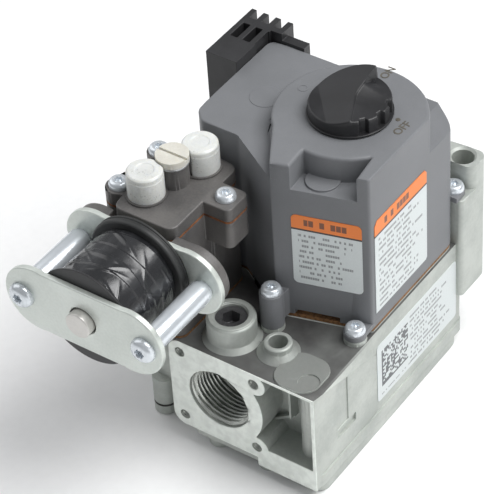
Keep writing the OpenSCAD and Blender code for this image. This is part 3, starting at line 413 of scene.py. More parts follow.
@dataclass(frozen=True)
class PrintedLabel:
    """White film with a plain coloured header, broken bars in place of words, and a plain block pattern.

    u runs along the label from its lower left corner and v up it, both in millimetres.
    """

    name: str
    corner: Triple
    along: Triple
    width: float
    height: float
    header: float
    row: float = 2.6
    layout: Print = Print.LINES
    seed: float = 0.0
    paper: Triple = (0.62, 0.66, 0.66)
    orange: Triple = (0.80, 0.20, 0.022)
    ink: Triple = (0.035, 0.037, 0.045)
    block_u: tuple[float, float] = (3.0, 21.6)
    block_v: tuple[float, float] = (6.2, 24.8)
    block_cell: float = 0.93
    header_rule: float = 0.8

    def make(self) -> bpy.types.Material:
        """Returns the material."""
        g = Graph(self.name)
        x, y, z = g.axes()
        u = (x - self.corner[0]) * self.along[0] + (y - self.corner[1]) * self.along[1]
        v = z - self.corner[2]
        speck = g.noise(1500.0, 2.0)
        colour = g.mix(speck.smooth(0.3, 0.7) * 0.35, self.paper, dimmed(self.paper))
        top = self.height - self.header - 1.9
        lines = self.bars(g, u, top - v, self.row, 0.9, (2.4, self.width - 2.4)) * v.within(1.6, top)
        if self.layout is Print.LINES_AND_BLOCK:
            inside = u.within(self.block_u[0] - 1.4, self.block_u[1] + 1.4) * (v > self.block_v[0] - 3.6)
            lines = lines * (1.0 - inside)
            colour = g.mix(self.cells(g, u, v), colour, self.ink)
        colour = g.mix(lines * 0.62, colour, self.ink)
        if self.header:
            base = self.height - self.header
            rule = v.within(base - self.header_rule, base)
            band = v > base
            colour = g.mix(band, g.mix(rule, colour, (0.03, 0.02, 0.018)), self.orange)
            word = self.bars(g, u, v - base, self.header, 2.1, (self.width * 0.18, self.width * 0.84), 0.22)
            colour = g.mix(word * band * 0.85, colour, (0.07, 0.03, 0.02))
        return g.surface(
            Base_Color=colour, Roughness=0.38 + 0.1 * speck, Coat_Weight=0.15, Coat_Roughness=0.3,
            Normal=g.bump(g.noise(260.0, 2.0), 0.03, 0.35),
        )

    def bars(self, g: Graph, u: Value, down: Value, pitch: float, cell: float,
             span: tuple[float, float], gap: float = 0.3) -> Value:
        """Rows of short bars of random lengths, so that they read as print but spell nothing.

        A bar shows where down / pitch has its fraction in the middle, and a white noise of
        (floor(u / cell), row) is above gap; each row ends at its own random place.

        Returns:
            1 on a bar.
        """
        lane = down / pitch
        number = lane.floor()
        middle = lane.fraction().within(0.27, 0.73)
        column = (u / cell).floor()
        key = column * 7.13 + number * 37.7 + self.seed
        on = g.node("ShaderNodeTexWhiteNoise", {"noise_dimensions": "1D"}, {"W": key}) > gap
        slit = (u / cell).fraction() > 0.14
        end = g.node(
            "ShaderNodeTexWhiteNoise", {"noise_dimensions": "1D"}, {"W": number * 3.31 + self.seed + 5.5},
        )
        reach = (u > span[0]) * (u < span[1] - end * (span[1] - span[0]) * 0.28)
        return middle * on * slit * reach

    def cells(self, g: Graph, u: Value, v: Value) -> Value:
        """A square of random cells, framed on two sides, which holds no data.

        Returns:
            1 on a dark cell.
        """
        column = ((u - self.block_u[0]) / self.block_cell).floor()
        row = ((v - self.block_v[0]) / self.block_cell).floor()
        key = column * 13.7 + row * 91.3 + self.seed
        dark = g.node("ShaderNodeTexWhiteNoise", {"noise_dimensions": "1D"}, {"W": key}) > 0.52
        side = ((column < 0.5) + (row < 0.5)) > 0.5
        either = (dark + side) > 0.5
        return either * u.within(*self.block_u) * v.within(*self.block_v) * 0.9


@dataclass(frozen=True)
class Finishes:
    """Every finish of the valve, made once."""

    made: dict[str, bpy.types.Material] = field(default_factory=dict)

    def get(self, finish: Any) -> bpy.types.Material:
        """Returns a finish's material, making it the first time."""
        if finish.name not in self.made:
            self.made[finish.name] = finish.make()
        return self.made[finish.name]


CAST = CastMetal()
TAPPED_METAL = PlainFinish(
    "tapped_aluminium", (0.42, 0.44, 0.41), (0.62, 0.64, 0.60), roughness=0.3, rough_spread=0.12,
    metallic=0.85, blotch=120.0, relief=0.01, relief_strength=0.4,
)
DARK_CAST = PlainFinish(
    "cast_regulator", (0.092, 0.089, 0.088), (0.150, 0.143, 0.137), roughness=0.42, rough_spread=0.2,
    metallic=0.18, blotch=55.0, grain=1300.0, relief=0.05, relief_strength=0.7, stain=0.3,
    stain_colour=(0.09, 0.09, 0.095),
)
GREY_PLASTIC = PlainFinish(
    "grey_plastic", (0.150, 0.155, 0.163), (0.175, 0.180, 0.190), rough_spread=0.16, blotch=35.0,
    grain=1900.0, relief=0.022,
)
BLACK_PLASTIC = PlainFinish(
    "black_plastic", (0.018, 0.018, 0.019), (0.030, 0.030, 0.032), roughness=0.44, rough_spread=0.2,
    grain=1700.0, relief_strength=0.45,
)
KNOB_PLASTIC = PlainFinish(
    "knob_plastic", (0.010, 0.010, 0.011), (0.018, 0.018, 0.020), roughness=0.42, rough_spread=0.16,
    blotch=80.0, grain=2100.0, relief=0.018,
)
NATURAL_PLASTIC = PlainFinish(
    "natural_plastic", (0.62, 0.60, 0.50), (0.72, 0.70, 0.60), roughness=0.4, rough_spread=0.12,
    subsurface=0.25, relief=0.01,
)
MILKY_PLASTIC = PlainFinish(
    "milky_plastic", (0.66, 0.67, 0.64), (0.78, 0.79, 0.76), roughness=0.3, rough_spread=0.12, blotch=110.0,
    relief=0.0, subsurface=0.3, transmission=0.12,
)
CREAM_PLASTIC = PlainFinish(
    "cream_plastic", (0.56, 0.545, 0.49), (0.66, 0.645, 0.585), roughness=0.36, rough_spread=0.12,
    blotch=90.0, relief=0.015, subsurface=0.3,
)
DARK_RUBBER = PlainFinish(
    "dark_rubber", (0.020, 0.018, 0.017), (0.034, 0.030, 0.028), roughness=0.62, rough_spread=0.2,
    blotch=90.0, grain=1100.0, relief=0.03, relief_strength=0.6,
)
RUBBER = PlainFinish(
    "rubber", (0.016, 0.017, 0.017), (0.026, 0.027, 0.027), rough_spread=0.2, blotch=90.0, grain=1100.0,
    relief=0.03, relief_strength=0.6,
)
ORANGE_RUBBER = PlainFinish(
    "orange_rubber", (0.10, 0.038, 0.016), (0.30, 0.11, 0.035), roughness=0.7, rough_spread=0.2,
    blotch=260.0, relief=0.08, relief_strength=0.8, stain=0.4, stain_colour=(0.1, 0.035, 0.015),
)
STEEL = PlainFinish(
    "steel", (0.40, 0.41, 0.42), (0.52, 0.53, 0.54), roughness=0.34, rough_spread=0.2, metallic=0.9,
    blotch=70.0, grain=900.0,
)
PIN_STEEL = PlainFinish(
    "pin_steel", (0.60, 0.585, 0.555), (0.68, 0.665, 0.635), roughness=0.34, rough_spread=0.2, metallic=0.6,
    blotch=90.0, grain=1200.0, relief_strength=0.4,
)
DARK_STEEL = PlainFinish(
    "dark_steel", (0.10, 0.10, 0.105), (0.17, 0.17, 0.175), roughness=0.4, rough_spread=0.2, metallic=0.75,
    blotch=90.0, grain=1200.0,
)
ZINC_PLATE = PlainFinish(
    "zinc_plate", (0.60, 0.64, 0.60), (0.71, 0.75, 0.71), roughness=0.34, rough_spread=0.18, metallic=0.5,
    blotch=40.0, grain=900.0, relief=0.012, stain=0.12, stain_colour=(0.45, 0.50, 0.48),
)
ZINC_BRIGHT = PlainFinish(
    "zinc_bright", (0.68, 0.72, 0.755), (0.74, 0.78, 0.82), roughness=0.25, rough_spread=0.06, metallic=0.6,
    grain=260.0, relief=0.004, relief_strength=0.2,
)
COPPER = PlainFinish(
    "copper", (0.45, 0.19, 0.08), (0.62, 0.28, 0.13), roughness=0.35, rough_spread=0.2, metallic=0.9,
    blotch=90.0, relief=0.05, relief_strength=0.6,
)
PRINT_INK = PlainFinish(
    "print_ink", (0.075, 0.068, 0.055), (0.12, 0.108, 0.085), roughness=0.55, rough_spread=0.2,
)


# ------------------------------------------------------------------ shapes
def unit(vector: Sequence[float]) -> Array:
    """Returns a vector of length 1."""
    v = np.asarray(vector, float)
    return v / np.linalg.norm(v)


def square_pair(axis: Sequence[float]) -> tuple[Array, Array]:
    """Returns two unit vectors that make a right-handed set (a, b, axis)."""
    w = unit(axis)
    helper = np.array([0.0, 0.0, 1.0]) if abs(w[2]) < 0.9 else np.array([1.0, 0.0, 0.0])
    a = unit(np.cross(helper, w))
    return a, np.cross(w, a)


def ease(x: Array, low: float, high: float) -> Array:
    """Smooth step: t²(3 - 2t) with t the share of the way from low to high, kept in 0..1."""
    t = np.clip((x - low) / (high - low), 0.0, 1.0)
    return t * t * (3.0 - 2.0 * t)


@dataclass
class Shape:
    """Points in millimetres and the quads over them."""

    points: Array
    quads: Array

    def __add__(self, other: "Shape") -> "Shape":
        """Both shapes in one mesh."""
        return Shape(
            np.vstack([self.points, other.points]), np.vstack([self.quads, other.quads + len(self.points)]),
        )

    def place(self, name: str, sharp_deg: float = 38.0) -> bpy.types.Object:
        """Turns the shape into an object at the origin, with its poles and seams merged.

        Args:
            name: The object's name.
            sharp_deg: Edges that turn more than this stay crisp.

        Returns:
            The object.
        """
        mesh = bpy.data.meshes.new(name)
        mesh.from_pydata((self.points * MM).tolist(), [], self.quads.tolist())
        return settle(name, mesh, sharp_deg)


def settle(name: str, mesh: bpy.types.Mesh, sharp_deg: float) -> bpy.types.Object:
    """Merges doubles, turns the faces outwards, marks crisp edges and links the object."""
    bm = bmesh.new()
    bm.from_mesh(mesh)
    bmesh.ops.remove_doubles(bm, verts=bm.verts, dist=2e-7)
    bmesh.ops.dissolve_degenerate(bm, edges=bm.edges, dist=1e-7)
    bmesh.ops.recalc_face_normals(bm, faces=bm.faces)
    crisp(bm, sharp_deg)
    bm.to_mesh(mesh)
    bm.free()
    obj = bpy.data.objects.new(name, mesh)
    bpy.context.scene.collection.objects.link(obj)
    return obj


def crisp(bm: bmesh.types.BMesh, sharp_deg: float) -> None:
    """Shades every face smooth, except across edges that turn more than sharp_deg."""
    for f in bm.faces:
        f.smooth = True
    limit = math.radians(sharp_deg)
    for e in bm.edges:
        e.smooth = not (len(e.link_faces) != 2 or e.calc_face_angle(0.0) > limit)


def lattice(points: Array, wrap_rows: bool = False, wrap_cols: bool = True) -> Shape:
    """Quads over a grid of points.

    Args:
        points: An array (rows, columns, 3).
        wrap_rows: Whether the last row joins the first.
        wrap_cols: Whether the last column joins the first.

    Returns:
        The shape.
    """
    rows, cols = points.shape[:2]
    index = np.arange(rows * cols).reshape(rows, cols)
    if wrap_rows:
        index = np.vstack([index, index[:1]])
    if wrap_cols:
        index = np.hstack([index, index[:, :1]])
    quads = np.stack([index[:-1, :-1], index[1:, :-1], index[1:, 1:], index[:-1, 1:]], -1).reshape(-1, 4)
    return Shape(points.reshape(-1, 3), quads)


def around(
    axis: Sequence[float], origin: Sequence[float], radius: Array, height: Array, angle: Array,
) -> Array:
    """Points origin + height·w + radius·(cos(angle)·a + sin(angle)·b), (a, b, w) being the axis's set."""
    a, b = square_pair(axis)
    r, h, t = np.broadcast_arrays(radius, height, angle)
    return (
        np.asarray(origin, float)
        + h[..., None] * unit(axis)
        + (r * np.cos(t))[..., None] * a
        + (r * np.sin(t))[..., None] * b
    )


def turned(profile: Sequence[tuple[float, float]], origin: Sequence[float], axis: Sequence[float] = (0, 0, 1),
           sides: int = 72, loop: bool = False) -> Shape:
    """A turned part: a profile of (radius, height) pairs carried round an axis.

    Args:
        profile: The pairs, from pole to pole, or a closed loop for a ring.
        origin: The point of the axis where height is 0.
        axis: Its direction.
        sides: Points round.
        loop: Whether the profile closes on itself.

    Returns:
        The shape.
    """
    p = np.asarray(profile, float)
    angle = np.linspace(0.0, 2 * np.pi, sides, endpoint=False)
    return lattice(around(axis, origin, p[:, :1], p[:, 1:], angle[None, :]), loop, True)


def rounded_profile(
    profile: Sequence[tuple[float, float]], radius: float, steps: int = 4, loop: bool = False,
) -> list[tuple[float, float]]:
    """Rounds a profile's corners off the axis with quadratic arcs that start radius before each corner."""
    p = [np.asarray(q, float) for q in profile]
    n = len(p)
    out: list[tuple[float, float]] = []
    for i, q in enumerate(p):
        if not loop and (i in (0, n - 1) or q[0] < 1e-9):
            out.append((float(q[0]), float(q[1])))
            continue
        before, after = p[i - 1] - q, p[(i + 1) % n] - q
        reach = min(radius, 0.45 * np.linalg.norm(before), 0.45 * np.linalg.norm(after))
        s, e = q + reach * unit(before), q + reach * unit(after)
        for k in range(steps + 1):
            t = k / steps
            m = (1 - t) ** 2 * s + 2 * t * (1 - t) * q + t * t * e
            out.append((float(m[0]), float(m[1])))
    return out


def screw_head(origin: Sequence[float], axis: Sequence[float], radius: float, height: float, socket: float,
               flat: float, shank: tuple[float, float], depth: float = 1.4) -> Shape:
    """A pan head with a six-lobed socket, on its shank.

    The socket's rings have radius share·s(t), where s(t) = socket·(1 + 0.17·cos 6t) is the lobed
    outline, and the crown is a quarter of an ellipse. Heights are measured from the seat.

    Args:
        origin: Centre of the seat.
        axis: Direction from the seat out through the head.
        radius: Radius of the head at the seat.
        height: Height of the crown.
        socket: Mean radius of the socket.
        flat: Radius of the flat crown as a share of the head's.
        shank: Radius and length of the shank.
        depth: Depth of the socket.

    Returns:
        The shape.
    """
    t = np.linspace(0.0, 2 * np.pi, 96, endpoint=False)
    star = socket * (1.0 + 0.17 * np.cos(6 * t))
    rings = [(0.0, -depth), (0.55, -depth), (0.9, -depth + 0.1), (1.0, -0.16), (1.05, -0.02), (1.12, 0.0)]
    rows = [around(axis, origin, share * star, np.full_like(t, height + z), t) for share, z in rings]
    swell = np.linspace(0.0, 1.0, 8)
    edge = [(flat * radius * 0.8, height), (flat * radius, height - 0.03)]
    edge += [
        (
            flat * radius + (radius - flat * radius) * math.sin(s * math.pi / 2),
            0.3 + (height - 0.36) * math.cos(s * math.pi / 2),
        ) for s in swell[1:]
    ]
    edge += [(radius, 0.0), (shank[0], 0.0), (shank[0], -shank[1]), (0.0, -shank[1])]
    rows += [around(axis, origin, np.full_like(t, r), np.full_like(t, h), t) for r, h in edge]
    return lattice(np.stack(rows), False, True)


def thread(origin: Sequence[float], axis: Sequence[float], major: float, depth: float, pitch: float,
           start: float, end: float, sides: int, per_pitch: int, wall: float) -> Shape:
    """An inner thread as a thin sleeve.

    The inner surface is r = major - depth·f·tri(h / pitch - t / 2π), where tri is a triangle wave
    with flattened tips and f fades the first turn in; the outer wall lies at the bore.

    Args:
        origin: Centre of the bore's mouth.
        axis: Direction out of the bore, so depth into it is -axis.
        major: Radius at the thread's root.
        depth: Height of the thread.
        pitch: Distance from crest to crest.
        start: Depth where the sleeve begins.
        end: Depth where it ends.
        sides: Points round.
        per_pitch: Rows to a pitch.
        wall: Radius of the outer wall.

    Returns:
        The shape.
    """
    t = np.linspace(0.0, 2 * np.pi, sides, endpoint=False)[None, :]
    h = np.linspace(start, end, int((end - start) / pitch * per_pitch) + 1)[:, None]
    phase = np.mod(h / pitch - t / (2 * np.pi), 1.0)
    wave = np.clip(1.25 * (1.0 - np.abs(2.0 * phase - 1.0)) - 0.12, 0.0, 1.0)
    fade = ease(h, start, start + 0.9 * pitch)
    inner = around(axis, origin, major - depth * wave * fade, -h, t)
    outer = around(axis, origin, np.full_like(h, wall), -h[::-1], t)
    return lattice(np.vstack([inner, outer[[0, -1]]]), True, True)


def worked_copy(node: str, width: float, rule: Rule | None = None, segments: int = 3, angle: float = 32.0,
                split: bool = False) -> bpy.types.Object:
    """A CAD node's copy with its edges rounded as casting and moulding leave them.

    Where a bevel would reach outside the node's own surface, the shares of the edges beside it
    shrink and the bevel is made again.

    Args:
        node: The CAD node.
        width: Bevel width in millimetres where the rule says 1.
        rule: Takes edge midpoints in millimetres and gives each edge's share of the width.
        segments: Faces across a bevel.
        angle: Edges that turn less than this many degrees are left alone.
        split: Whether the wide faces are cut into triangles afterwards.

    Returns:
        The object.
    """
    mesh = frame["nodes"][node].data.copy()
    mesh.name = node + "_worked"
    mesh.materials.clear()
    bm = bmesh.new()
    bm.from_mesh(mesh)
    bmesh.ops.remove_doubles(bm, verts=bm.verts, dist=MERGE_M)
    skin = BVHTree.FromBMesh(bm)
    bmesh.ops.dissolve_limit(bm, angle_limit=math.radians(FLAT_DEG), verts=bm.verts, edges=bm.edges)
    bm.to_mesh(mesh)
    bm.free()
    obj = bpy.data.objects.new(node + "_worked", mesh)
    bpy.context.scene.collection.objects.link(obj)
    weigh(obj, rule, angle)
    corners = column(mesh.vertices, "co", 3) / MM
    ends = corners[column(mesh.edges, "vertices", 2)]
    layer = mesh.attributes["bevel_weight_edge"].data
    share = column(layer, "value", 1)[:, 0]
    finished = mesh
    for _ in range(BEVEL_ROUNDS):
        layer.foreach_set("value", share.astype(np.float32))
        finished = bevelled(obj, width, segments, split)
        stray = strays(finished, skin, STRAY_SHARE * width)
        if not len(stray):
            break
        share = calmed(share, ends, stray)
    obj.data = finished
    return obj


def strays(mesh: bpy.types.Mesh, skin: BVHTree, limit: float) -> Array:
    """Finds where a bevelled mesh has left its source.

    A corner or a triangle's middle is stray where its distance to the source is over the limit,
    and a middle also where its triangle faces against the source's nearest face.

    Args:
        mesh: The bevelled mesh.
        skin: The source's faces.
        limit: The greatest distance in millimetres.

    Returns:
        The stray points in millimetres.
    """
    mesh.calc_loop_triangles()
    corners = column(mesh.vertices, "co", 3)
    tri = corners[column(mesh.loop_triangles, "vertices", 3)]
    facing = np.cross(tri[:, 1] - tri[:, 0], tri[:, 2] - tri[:, 0])
    size = np.linalg.norm(facing, axis=1)
    real = size > (0.08 * MM) ** 2
    middle, facing = tri[real].mean(1), facing[real] / size[real, None]
    found = [skin.find_nearest(p) for p in middle]
    source = np.array([f[1] for f in found])
    gap = np.array([f[3] for f in found]) / MM
    wrong = (gap > limit) | ((facing * source).sum(1) < -0.3) & (gap < 0.05)
    reach = np.array([skin.find_nearest(p)[3] for p in corners]) / MM
    return np.vstack([corners[reach > limit], middle[wrong]]) / MM


def calmed(share: Array, ends: Array, stray: Array) -> Array:
    """Shrinks the shares of the edges beside stray points.

    The distance from a point to an edge is that to a + t(b - a), with t kept in 0..1.

    Args:
        share: Each edge's share.
        ends: Each edge's two ends.
        stray: The stray points.

    Returns:
        The new shares.
    """
    a, step = ends[:, 0], ends[:, 1] - ends[:, 0]
    size = np.maximum((step * step).sum(1), 1e-9)
    hit = np.zeros(len(share), bool)
    for p in stray:
        t = np.clip(((p - a) * step).sum(1) / size, 0.0, 1.0)
        gap = np.linalg.norm(a + step * t[:, None] - p, axis=1)
        hit |= gap < CALM_REACH
        hit[np.argmin(np.where(share > 0, gap, np.inf))] = True
    less = np.where(hit, share * CALM_SHARE, share)
    return np.where(less < CALM_FLOOR, 0.0, less)


def column(data: Any, name: str, size: int) -> Array:
    """Reads one property of a collection.

    Args:
        data: The collection.
        name: The property.
        size: How many numbers each item holds.

    Returns:
        An array (items, size), of whole numbers for corners' indices.
    """
    found = np.empty(len(data) * size, np.int32 if name == "vertices" else np.float32)
    data.foreach_get(name, found)
    return found.reshape(-1, size).astype(int if name == "vertices" else float)


def bevelled(obj: bpy.types.Object, width: float, segments: int, split: bool) -> bpy.types.Mesh:
    """Makes the mesh that a weighted Bevel modifier gives an object.

    Args:
        obj: The object, whose edges carry their shares.
        width: Bevel width in millimetres where the share is 1.
        segments: Faces across a bevel.
        split: Whether faces of more than four corners are cut into triangles.

    Returns:
        The mesh.
    """
    bevel = obj.modifiers.new("edges", "BEVEL")
    bevel.limit_method = "WEIGHT"
    bevel.width = width * MM
    bevel.segments = segments
    bevel.use_clamp_overlap = False
    bevel.harden_normals = True
    bevel.miter_outer = "MITER_ARC"
    bpy.context.view_layer.update()
    graph = bpy.context.evaluated_depsgraph_get()
    mesh = bpy.data.meshes.new_from_object(
        obj.evaluated_get(graph), preserve_all_data_layers=True, depsgraph=graph,
    )
    obj.modifiers.clear()
    if not split:
        return mesh
    bm = bmesh.new()
    bm.from_mesh(mesh)
    wide = [f for f in bm.faces if len(f.verts) > 4]
    bmesh.ops.triangulate(bm, faces=wide, quad_method="BEAUTY", ngon_method="EAR_CLIP")
    bm.to_mesh(mesh)
    bm.free()
    return mesh


def weigh(obj: bpy.types.Object, rule: Rule | None, angle: float) -> None:
    """Gives every edge its share of the bevel, and shades smooth across the soft edges."""
    bm = bmesh.new()
    bm.from_mesh(obj.data)
    crisp(bm, angle)
    bm.edges.ensure_lookup_table()
    layer = bm.edges.layers.float.get("bevel_weight_edge") or bm.edges.layers.float.new("bevel_weight_edge")
    turning = np.array([e.calc_face_angle(0.0) if len(e.link_faces) == 2 else 0.0 for e in bm.edges])
    middle = np.array([(e.verts[0].co + e.verts[1].co) / 2 for e in bm.edges]) / MM
    share = np.ones(len(middle)) if rule is None else rule(middle)
    share = np.where(turning > math.radians(angle), share, 0.0)
    for e, s in zip(bm.edges, share):
        e[layer] = float(s)
    bm.to_mesh(obj.data)
    bm.free()


# ------------------------------------------------------------------ workshop
@dataclass
class Workshop:
    """Dresses pieces and ties them to the frame."""

    finishes: Finishes = field(default_factory=Finishes)
    dressed: set[str] = field(default_factory=set)

    def fit(self, obj: bpy.types.Object, body: str, slot: str, finish: Any, *nodes: str) -> bpy.types.Object:
        """Finishes a piece.

        Args:
            obj: The piece.
            body: The CAD body it rides on.
            slot: The record's material slot; not used.
            finish: Its finish.
            nodes: CAD nodes that it stands for.

        Returns:
            The piece.
        """
        obj.data.materials.clear()
        obj.data.materials.append(self.finishes.get(finish))
        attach(obj, body)
        if nodes:
            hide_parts(*nodes)
        self.dressed.update(nodes)
        LOG.info("piece %s on %s, %d faces", obj.name, body, len(obj.data.polygons))
        return obj

    def dress(self, finish: Any, *nodes: str) -> None:
        """Gives CAD nodes that stay in view their finish."""
        for node in nodes:
            slots = frame["nodes"][node].data.materials
            slots.clear()
            slots.append(self.finishes.get(finish))
            self.dressed.add(node)
            LOG.info("node %s in %s", node, finish.name)


def near(p: Array, x: float, y: float, radius: float, slack: float = 0.35) -> Array:
    """Tells which points lie on a vertical cylinder round (x, y)."""
    return np.abs(np.hypot(p[:, 0] - x, p[:, 1] - y) - radius) < slack


# ------------------------------------------------------------------ sub-assemblies
@dataclass
class BodyCasting:
    """The valve body, its threads, its cast marks and the bottom cover."""

    port_r: float = 13.3
    port_pitch: float = 1.814
    thread_depth: float = 1.25
    port_depth: float = 19.0
    length: float = 127.0
    hole_pitch: float = 33.0
    hole_r: float = 2.2
    hole_depth: float = 9.0
    plug_xy: tuple[float, float] = (-1.4, 13.5)
    plug_boss_r: float = 9.5
    socket_r: float = 5.0
    open_xy: tuple[float, float] = (18.0, 15.3)

    def edge_share(self, p: Array) -> Array:
        """Gives each edge of the casting its share of a 1.1 mm rounding."""
        share = np.full(len(p), 0.42)
        x, y, z = p.T
        share[(y < 0.1) | (y > self.length - 0.1)] = 0.3
        share[np.hypot(x, z) < self.port_r + 1.0] = 0.0
        mouth = (y < 0.1) | (y > self.length - 0.1)
        share[mouth & (np.abs(np.hypot(x, z) - self.port_r) < 0.4)] = 1.0
        share[mouth & (z > 21.2)] = 0.0
        top = z > 25.5
        share[near(p, *self.plug_xy, self.plug_boss_r) & top] = 1.0
        share[near(p, *self.open_xy, 5.5) & top] = 0.75
        share[near(p, *self.open_xy, 3.6) & top] = 0.35
        share[(z > 54.0) & (x > 27.0)] = 0.9
        inside = (np.abs(x) < 42.0) & (y > 6.0) & (y < 121.0) & (z < 20.0) & (z > -25.0)
        share[inside] = 0.12
        hole = np.hypot(np.abs(x) - self.hole_pitch / 2, np.abs(z) - self.hole_pitch / 2) < 3.2
        share[hole & ~mouth] = 0.0
        share[hole & mouth] = 0.5
        return share

    def build(self, shop: Workshop) -> None:
        """Makes and dresses the casting's pieces."""
        body = worked_copy("valve_body", 1.1, self.edge_share, 3, 32.0)
        shop.fit(body, "body", "cast_body", CAST, "valve_body")
        cover = worked_copy("bottom_cover", 0.5)
        shop.fit(cover, "body", "cast_body", CAST, "bottom_cover")
        for tag, y, axis in (("front", 0.0, (0, -1, 0)), ("rear", self.length, (0, 1, 0))):
            ridges = thread((0, y, 0), axis, self.port_r - 0.03, self.thread_depth, self.port_pitch,
                            1.15, self.port_depth - 1.2, 120, 12, self.port_r - 0.005)
            shop.fit(ridges.place(f"{tag}_port_thread", 50), "body", "cast_body", TAPPED_METAL)
            half = self.hole_pitch / 2
            holes = [
                thread(
                    (x, y, z), axis, self.hole_r - 0.01, 0.42, 0.8, 0.6, self.hole_depth - 0.3, 28, 6,
                    self.hole_r - 0.002,
                ) for x in (-half, half) for z in (-half, half)
            ]
            shop.fit(
                (holes[0] + holes[1] + holes[2] + holes[3]).place(f"{tag}_hole_threads", 60), "body",
                "cast_body", TAPPED_METAL,
            )
        self.socket_plug(shop)

    def plug_share(self, p: Array) -> Array:
        """Gives the plug's rim the whole of its rounding and its socket half."""
        away = np.hypot(p[:, 0] - self.plug_xy[0], p[:, 1] - self.plug_xy[1])
        return np.where(away > self.socket_r, 1.0, 0.5)

    def socket_plug(self, shop: Workshop) -> None:
        """The hexagon-socket plug in the large boss."""
        plug = worked_copy("tap_plug", 0.55, self.plug_share)
        shop.fit(plug, "body", "steel", DARK_STEEL, "tap_plug")
        rim = rounded_profile([(6.35, 32.0), (8.9, 32.0), (8.6, 32.45), (6.6, 32.45)], 0.3, 4, True)
        boss_rim = turned(rim, (*self.plug_xy, 0.0), sides=96, loop=True)
        shop.fit(boss_rim.place("plug_boss_rim"), "body", "cast_body", CAST)


@dataclass
class ScrewSet:
    """Star-socket pan screws that hold the cover and the regulator."""

    head_r: float = 4.0
    head_h: float = 2.6

    def build(self, shop: Workshop) -> None:
        """Makes every pan screw in view."""
        cover = [
            (8.6, 25.6, 39.35, 17.0), (38.6, 35.4, 26.25, 9.9), (40.2, 102.9, 46.25, 9.9),
            (-31.0, 103.7, 46.25, 9.9),
        ]
        shop.fit(
            self.row(cover, 2.0).place("cover_screws_worked"), "body", "zinc_screw", ZINC_BRIGHT,
            "cover_screws",
        )
        ears = [(-9.8, 26.5), (-47.1, 12.0), (-45.9, 35.2)]
        seats = [(x, y, 76.05, 17.0) for x, y in ears]
        shop.fit(
            self.row(seats, 1.8).place("regulator_screws_worked"), "body", "zinc_screw", ZINC_BRIGHT,
            "regulator_screws",
        )

    def row(self, places: Sequence[tuple[float, float, float, float]], shank: float) -> Shape:
        """Screws at a list of (x, y, seat height, shank length)."""
        heads = [
            screw_head((x, y, z), (0, 0, 1), self.head_r, self.head_h, 1.5, 0.66, (shank, length))
            for x, y, z, length in places
        ]
        made = heads[0]
        for head in heads[1:]:
            made = made + head
        return made


@dataclass
class ElectronicsCover:
    """The grey moulded cover, its marks and its terminal block."""

    roof_z: float = 88.5
    top_z: float = 96.0
    knob_xy: tuple[float, float] = (16.2, 70.0)
    recess_z: float = 85.0
    right: float = 42.5

    def edge_share(self, p: Array) -> Array:
        """Gives each edge of the cover its share of a 1.5 mm rounding."""
        x, y, z = p.T
        share = np.full(len(p), 0.2)
        share[z > self.top_z - 0.3] = 0.85
        share[(np.abs(z - self.roof_z) < 0.3)] = 0.6
        recess = (z < self.top_z - 0.3) & (z > self.recess_z - 0.5) & (y < 48) & (x > 5)
        share[recess] = 0.22
        share[(np.abs(z - self.recess_z) < 1.2) & (y < 50) & (x > 5)] = 0.16
        share[(z < self.top_z - 0.3) & (x > 33) & (y > 78) & (z > 74)] = 0.5
        share[np.hypot(x - self.knob_xy[0], y - self.knob_xy[1]) < 12] = 0.12
        share[z < 27] = 0.15
        share[near(p, 8.6, 25.6, 4.6) & (z > 38)] = 0.35
        return share

    def build(self, shop: Workshop) -> None:
        """Makes and dresses the cover's pieces."""
        cover = worked_copy("cover", 1.5, self.edge_share, 4, 34.0, True)
        shop.fit(cover, "body", "grey_plastic", GREY_PLASTIC, "cover")
        block = worked_copy("terminal_block", 0.35)
        shop.fit(block, "body", "black_plastic", BLACK_PLASTIC, "terminal_block")
        disc = turned(
            rounded_profile([(0, 0), (6.3, 0), (6.1, 0.28), (0, 0.28)], 0.15),
            (-20.6, 69.2, self.roof_z - 0.02),
        )
        shop.fit(disc.place("roof_disc"), "body", "grey_plastic", GREY_PLASTIC)
        self.marks(shop)

    def marks(self, shop: Workshop) -> None:
        """The dial's two plain position words, its dot and its ring."""
        for word, (x, y), turn in (("ON", (15.7, 96.4), 90.0), ("OFF", (37.2, 71.8), 84.0)):
            shop.fit(self.word(word, x, y, turn), "body", "black_plastic", PRINT_INK)
        dot = turned(
            rounded_profile([(0, 0), (0.95, 0), (0.9, 0.12), (0, 0.12)], 0.06), (33.3, 75.2, self.top_z),
            sides=40,
        )
        shop.fit(dot.place("dial_dot"), "body", "black_plastic", PRINT_INK)
        ring = turned(
            rounded_profile([(1.45, 0), (2.0, 0), (2.0, 0.15), (1.45, 0.15)], 0.06, 3, True),
            (-6.2, 72.9, self.top_z), sides=48, loop=True,
        )
        shop.fit(ring.place("dial_ring"), "body", "grey_plastic", GREY_PLASTIC)

    def word(self, text: str, x: float, y: float, turn: float) -> bpy.types.Object:
        """A short word in the plain built-in face, as a thin raised print.

        Args:
            text: The word.
            x: Its middle.
            y: Its middle.
            turn: Degrees anticlockwise.

        Returns:
            The mesh object.
        """
        curve = bpy.data.curves.new("dial_" + text.lower(), "FONT")
        curve.body = text
        curve.size = 4.6 * MM
        curve.extrude = 0.05 * MM
        curve.offset = 0.06 * MM
        curve.align_x, curve.align_y = "CENTER", "CENTER"
        source = bpy.data.objects.new("source_" + text.lower(), curve)
        bpy.context.scene.collection.objects.link(source)
        bpy.context.view_layer.update()
        mesh = bpy.data.meshes.new_from_object(source.evaluated_get(bpy.context.evaluated_depsgraph_get()))
        bpy.data.objects.remove(source)
        mesh.transform(
            Matrix.Translation(
                Vector((x, y, self.top_z + 0.06)) * MM
            ) @ Matrix.Rotation(math.radians(turn), 4, "Z")
        )
        return settle("dial_" + text.lower(), mesh, 30)


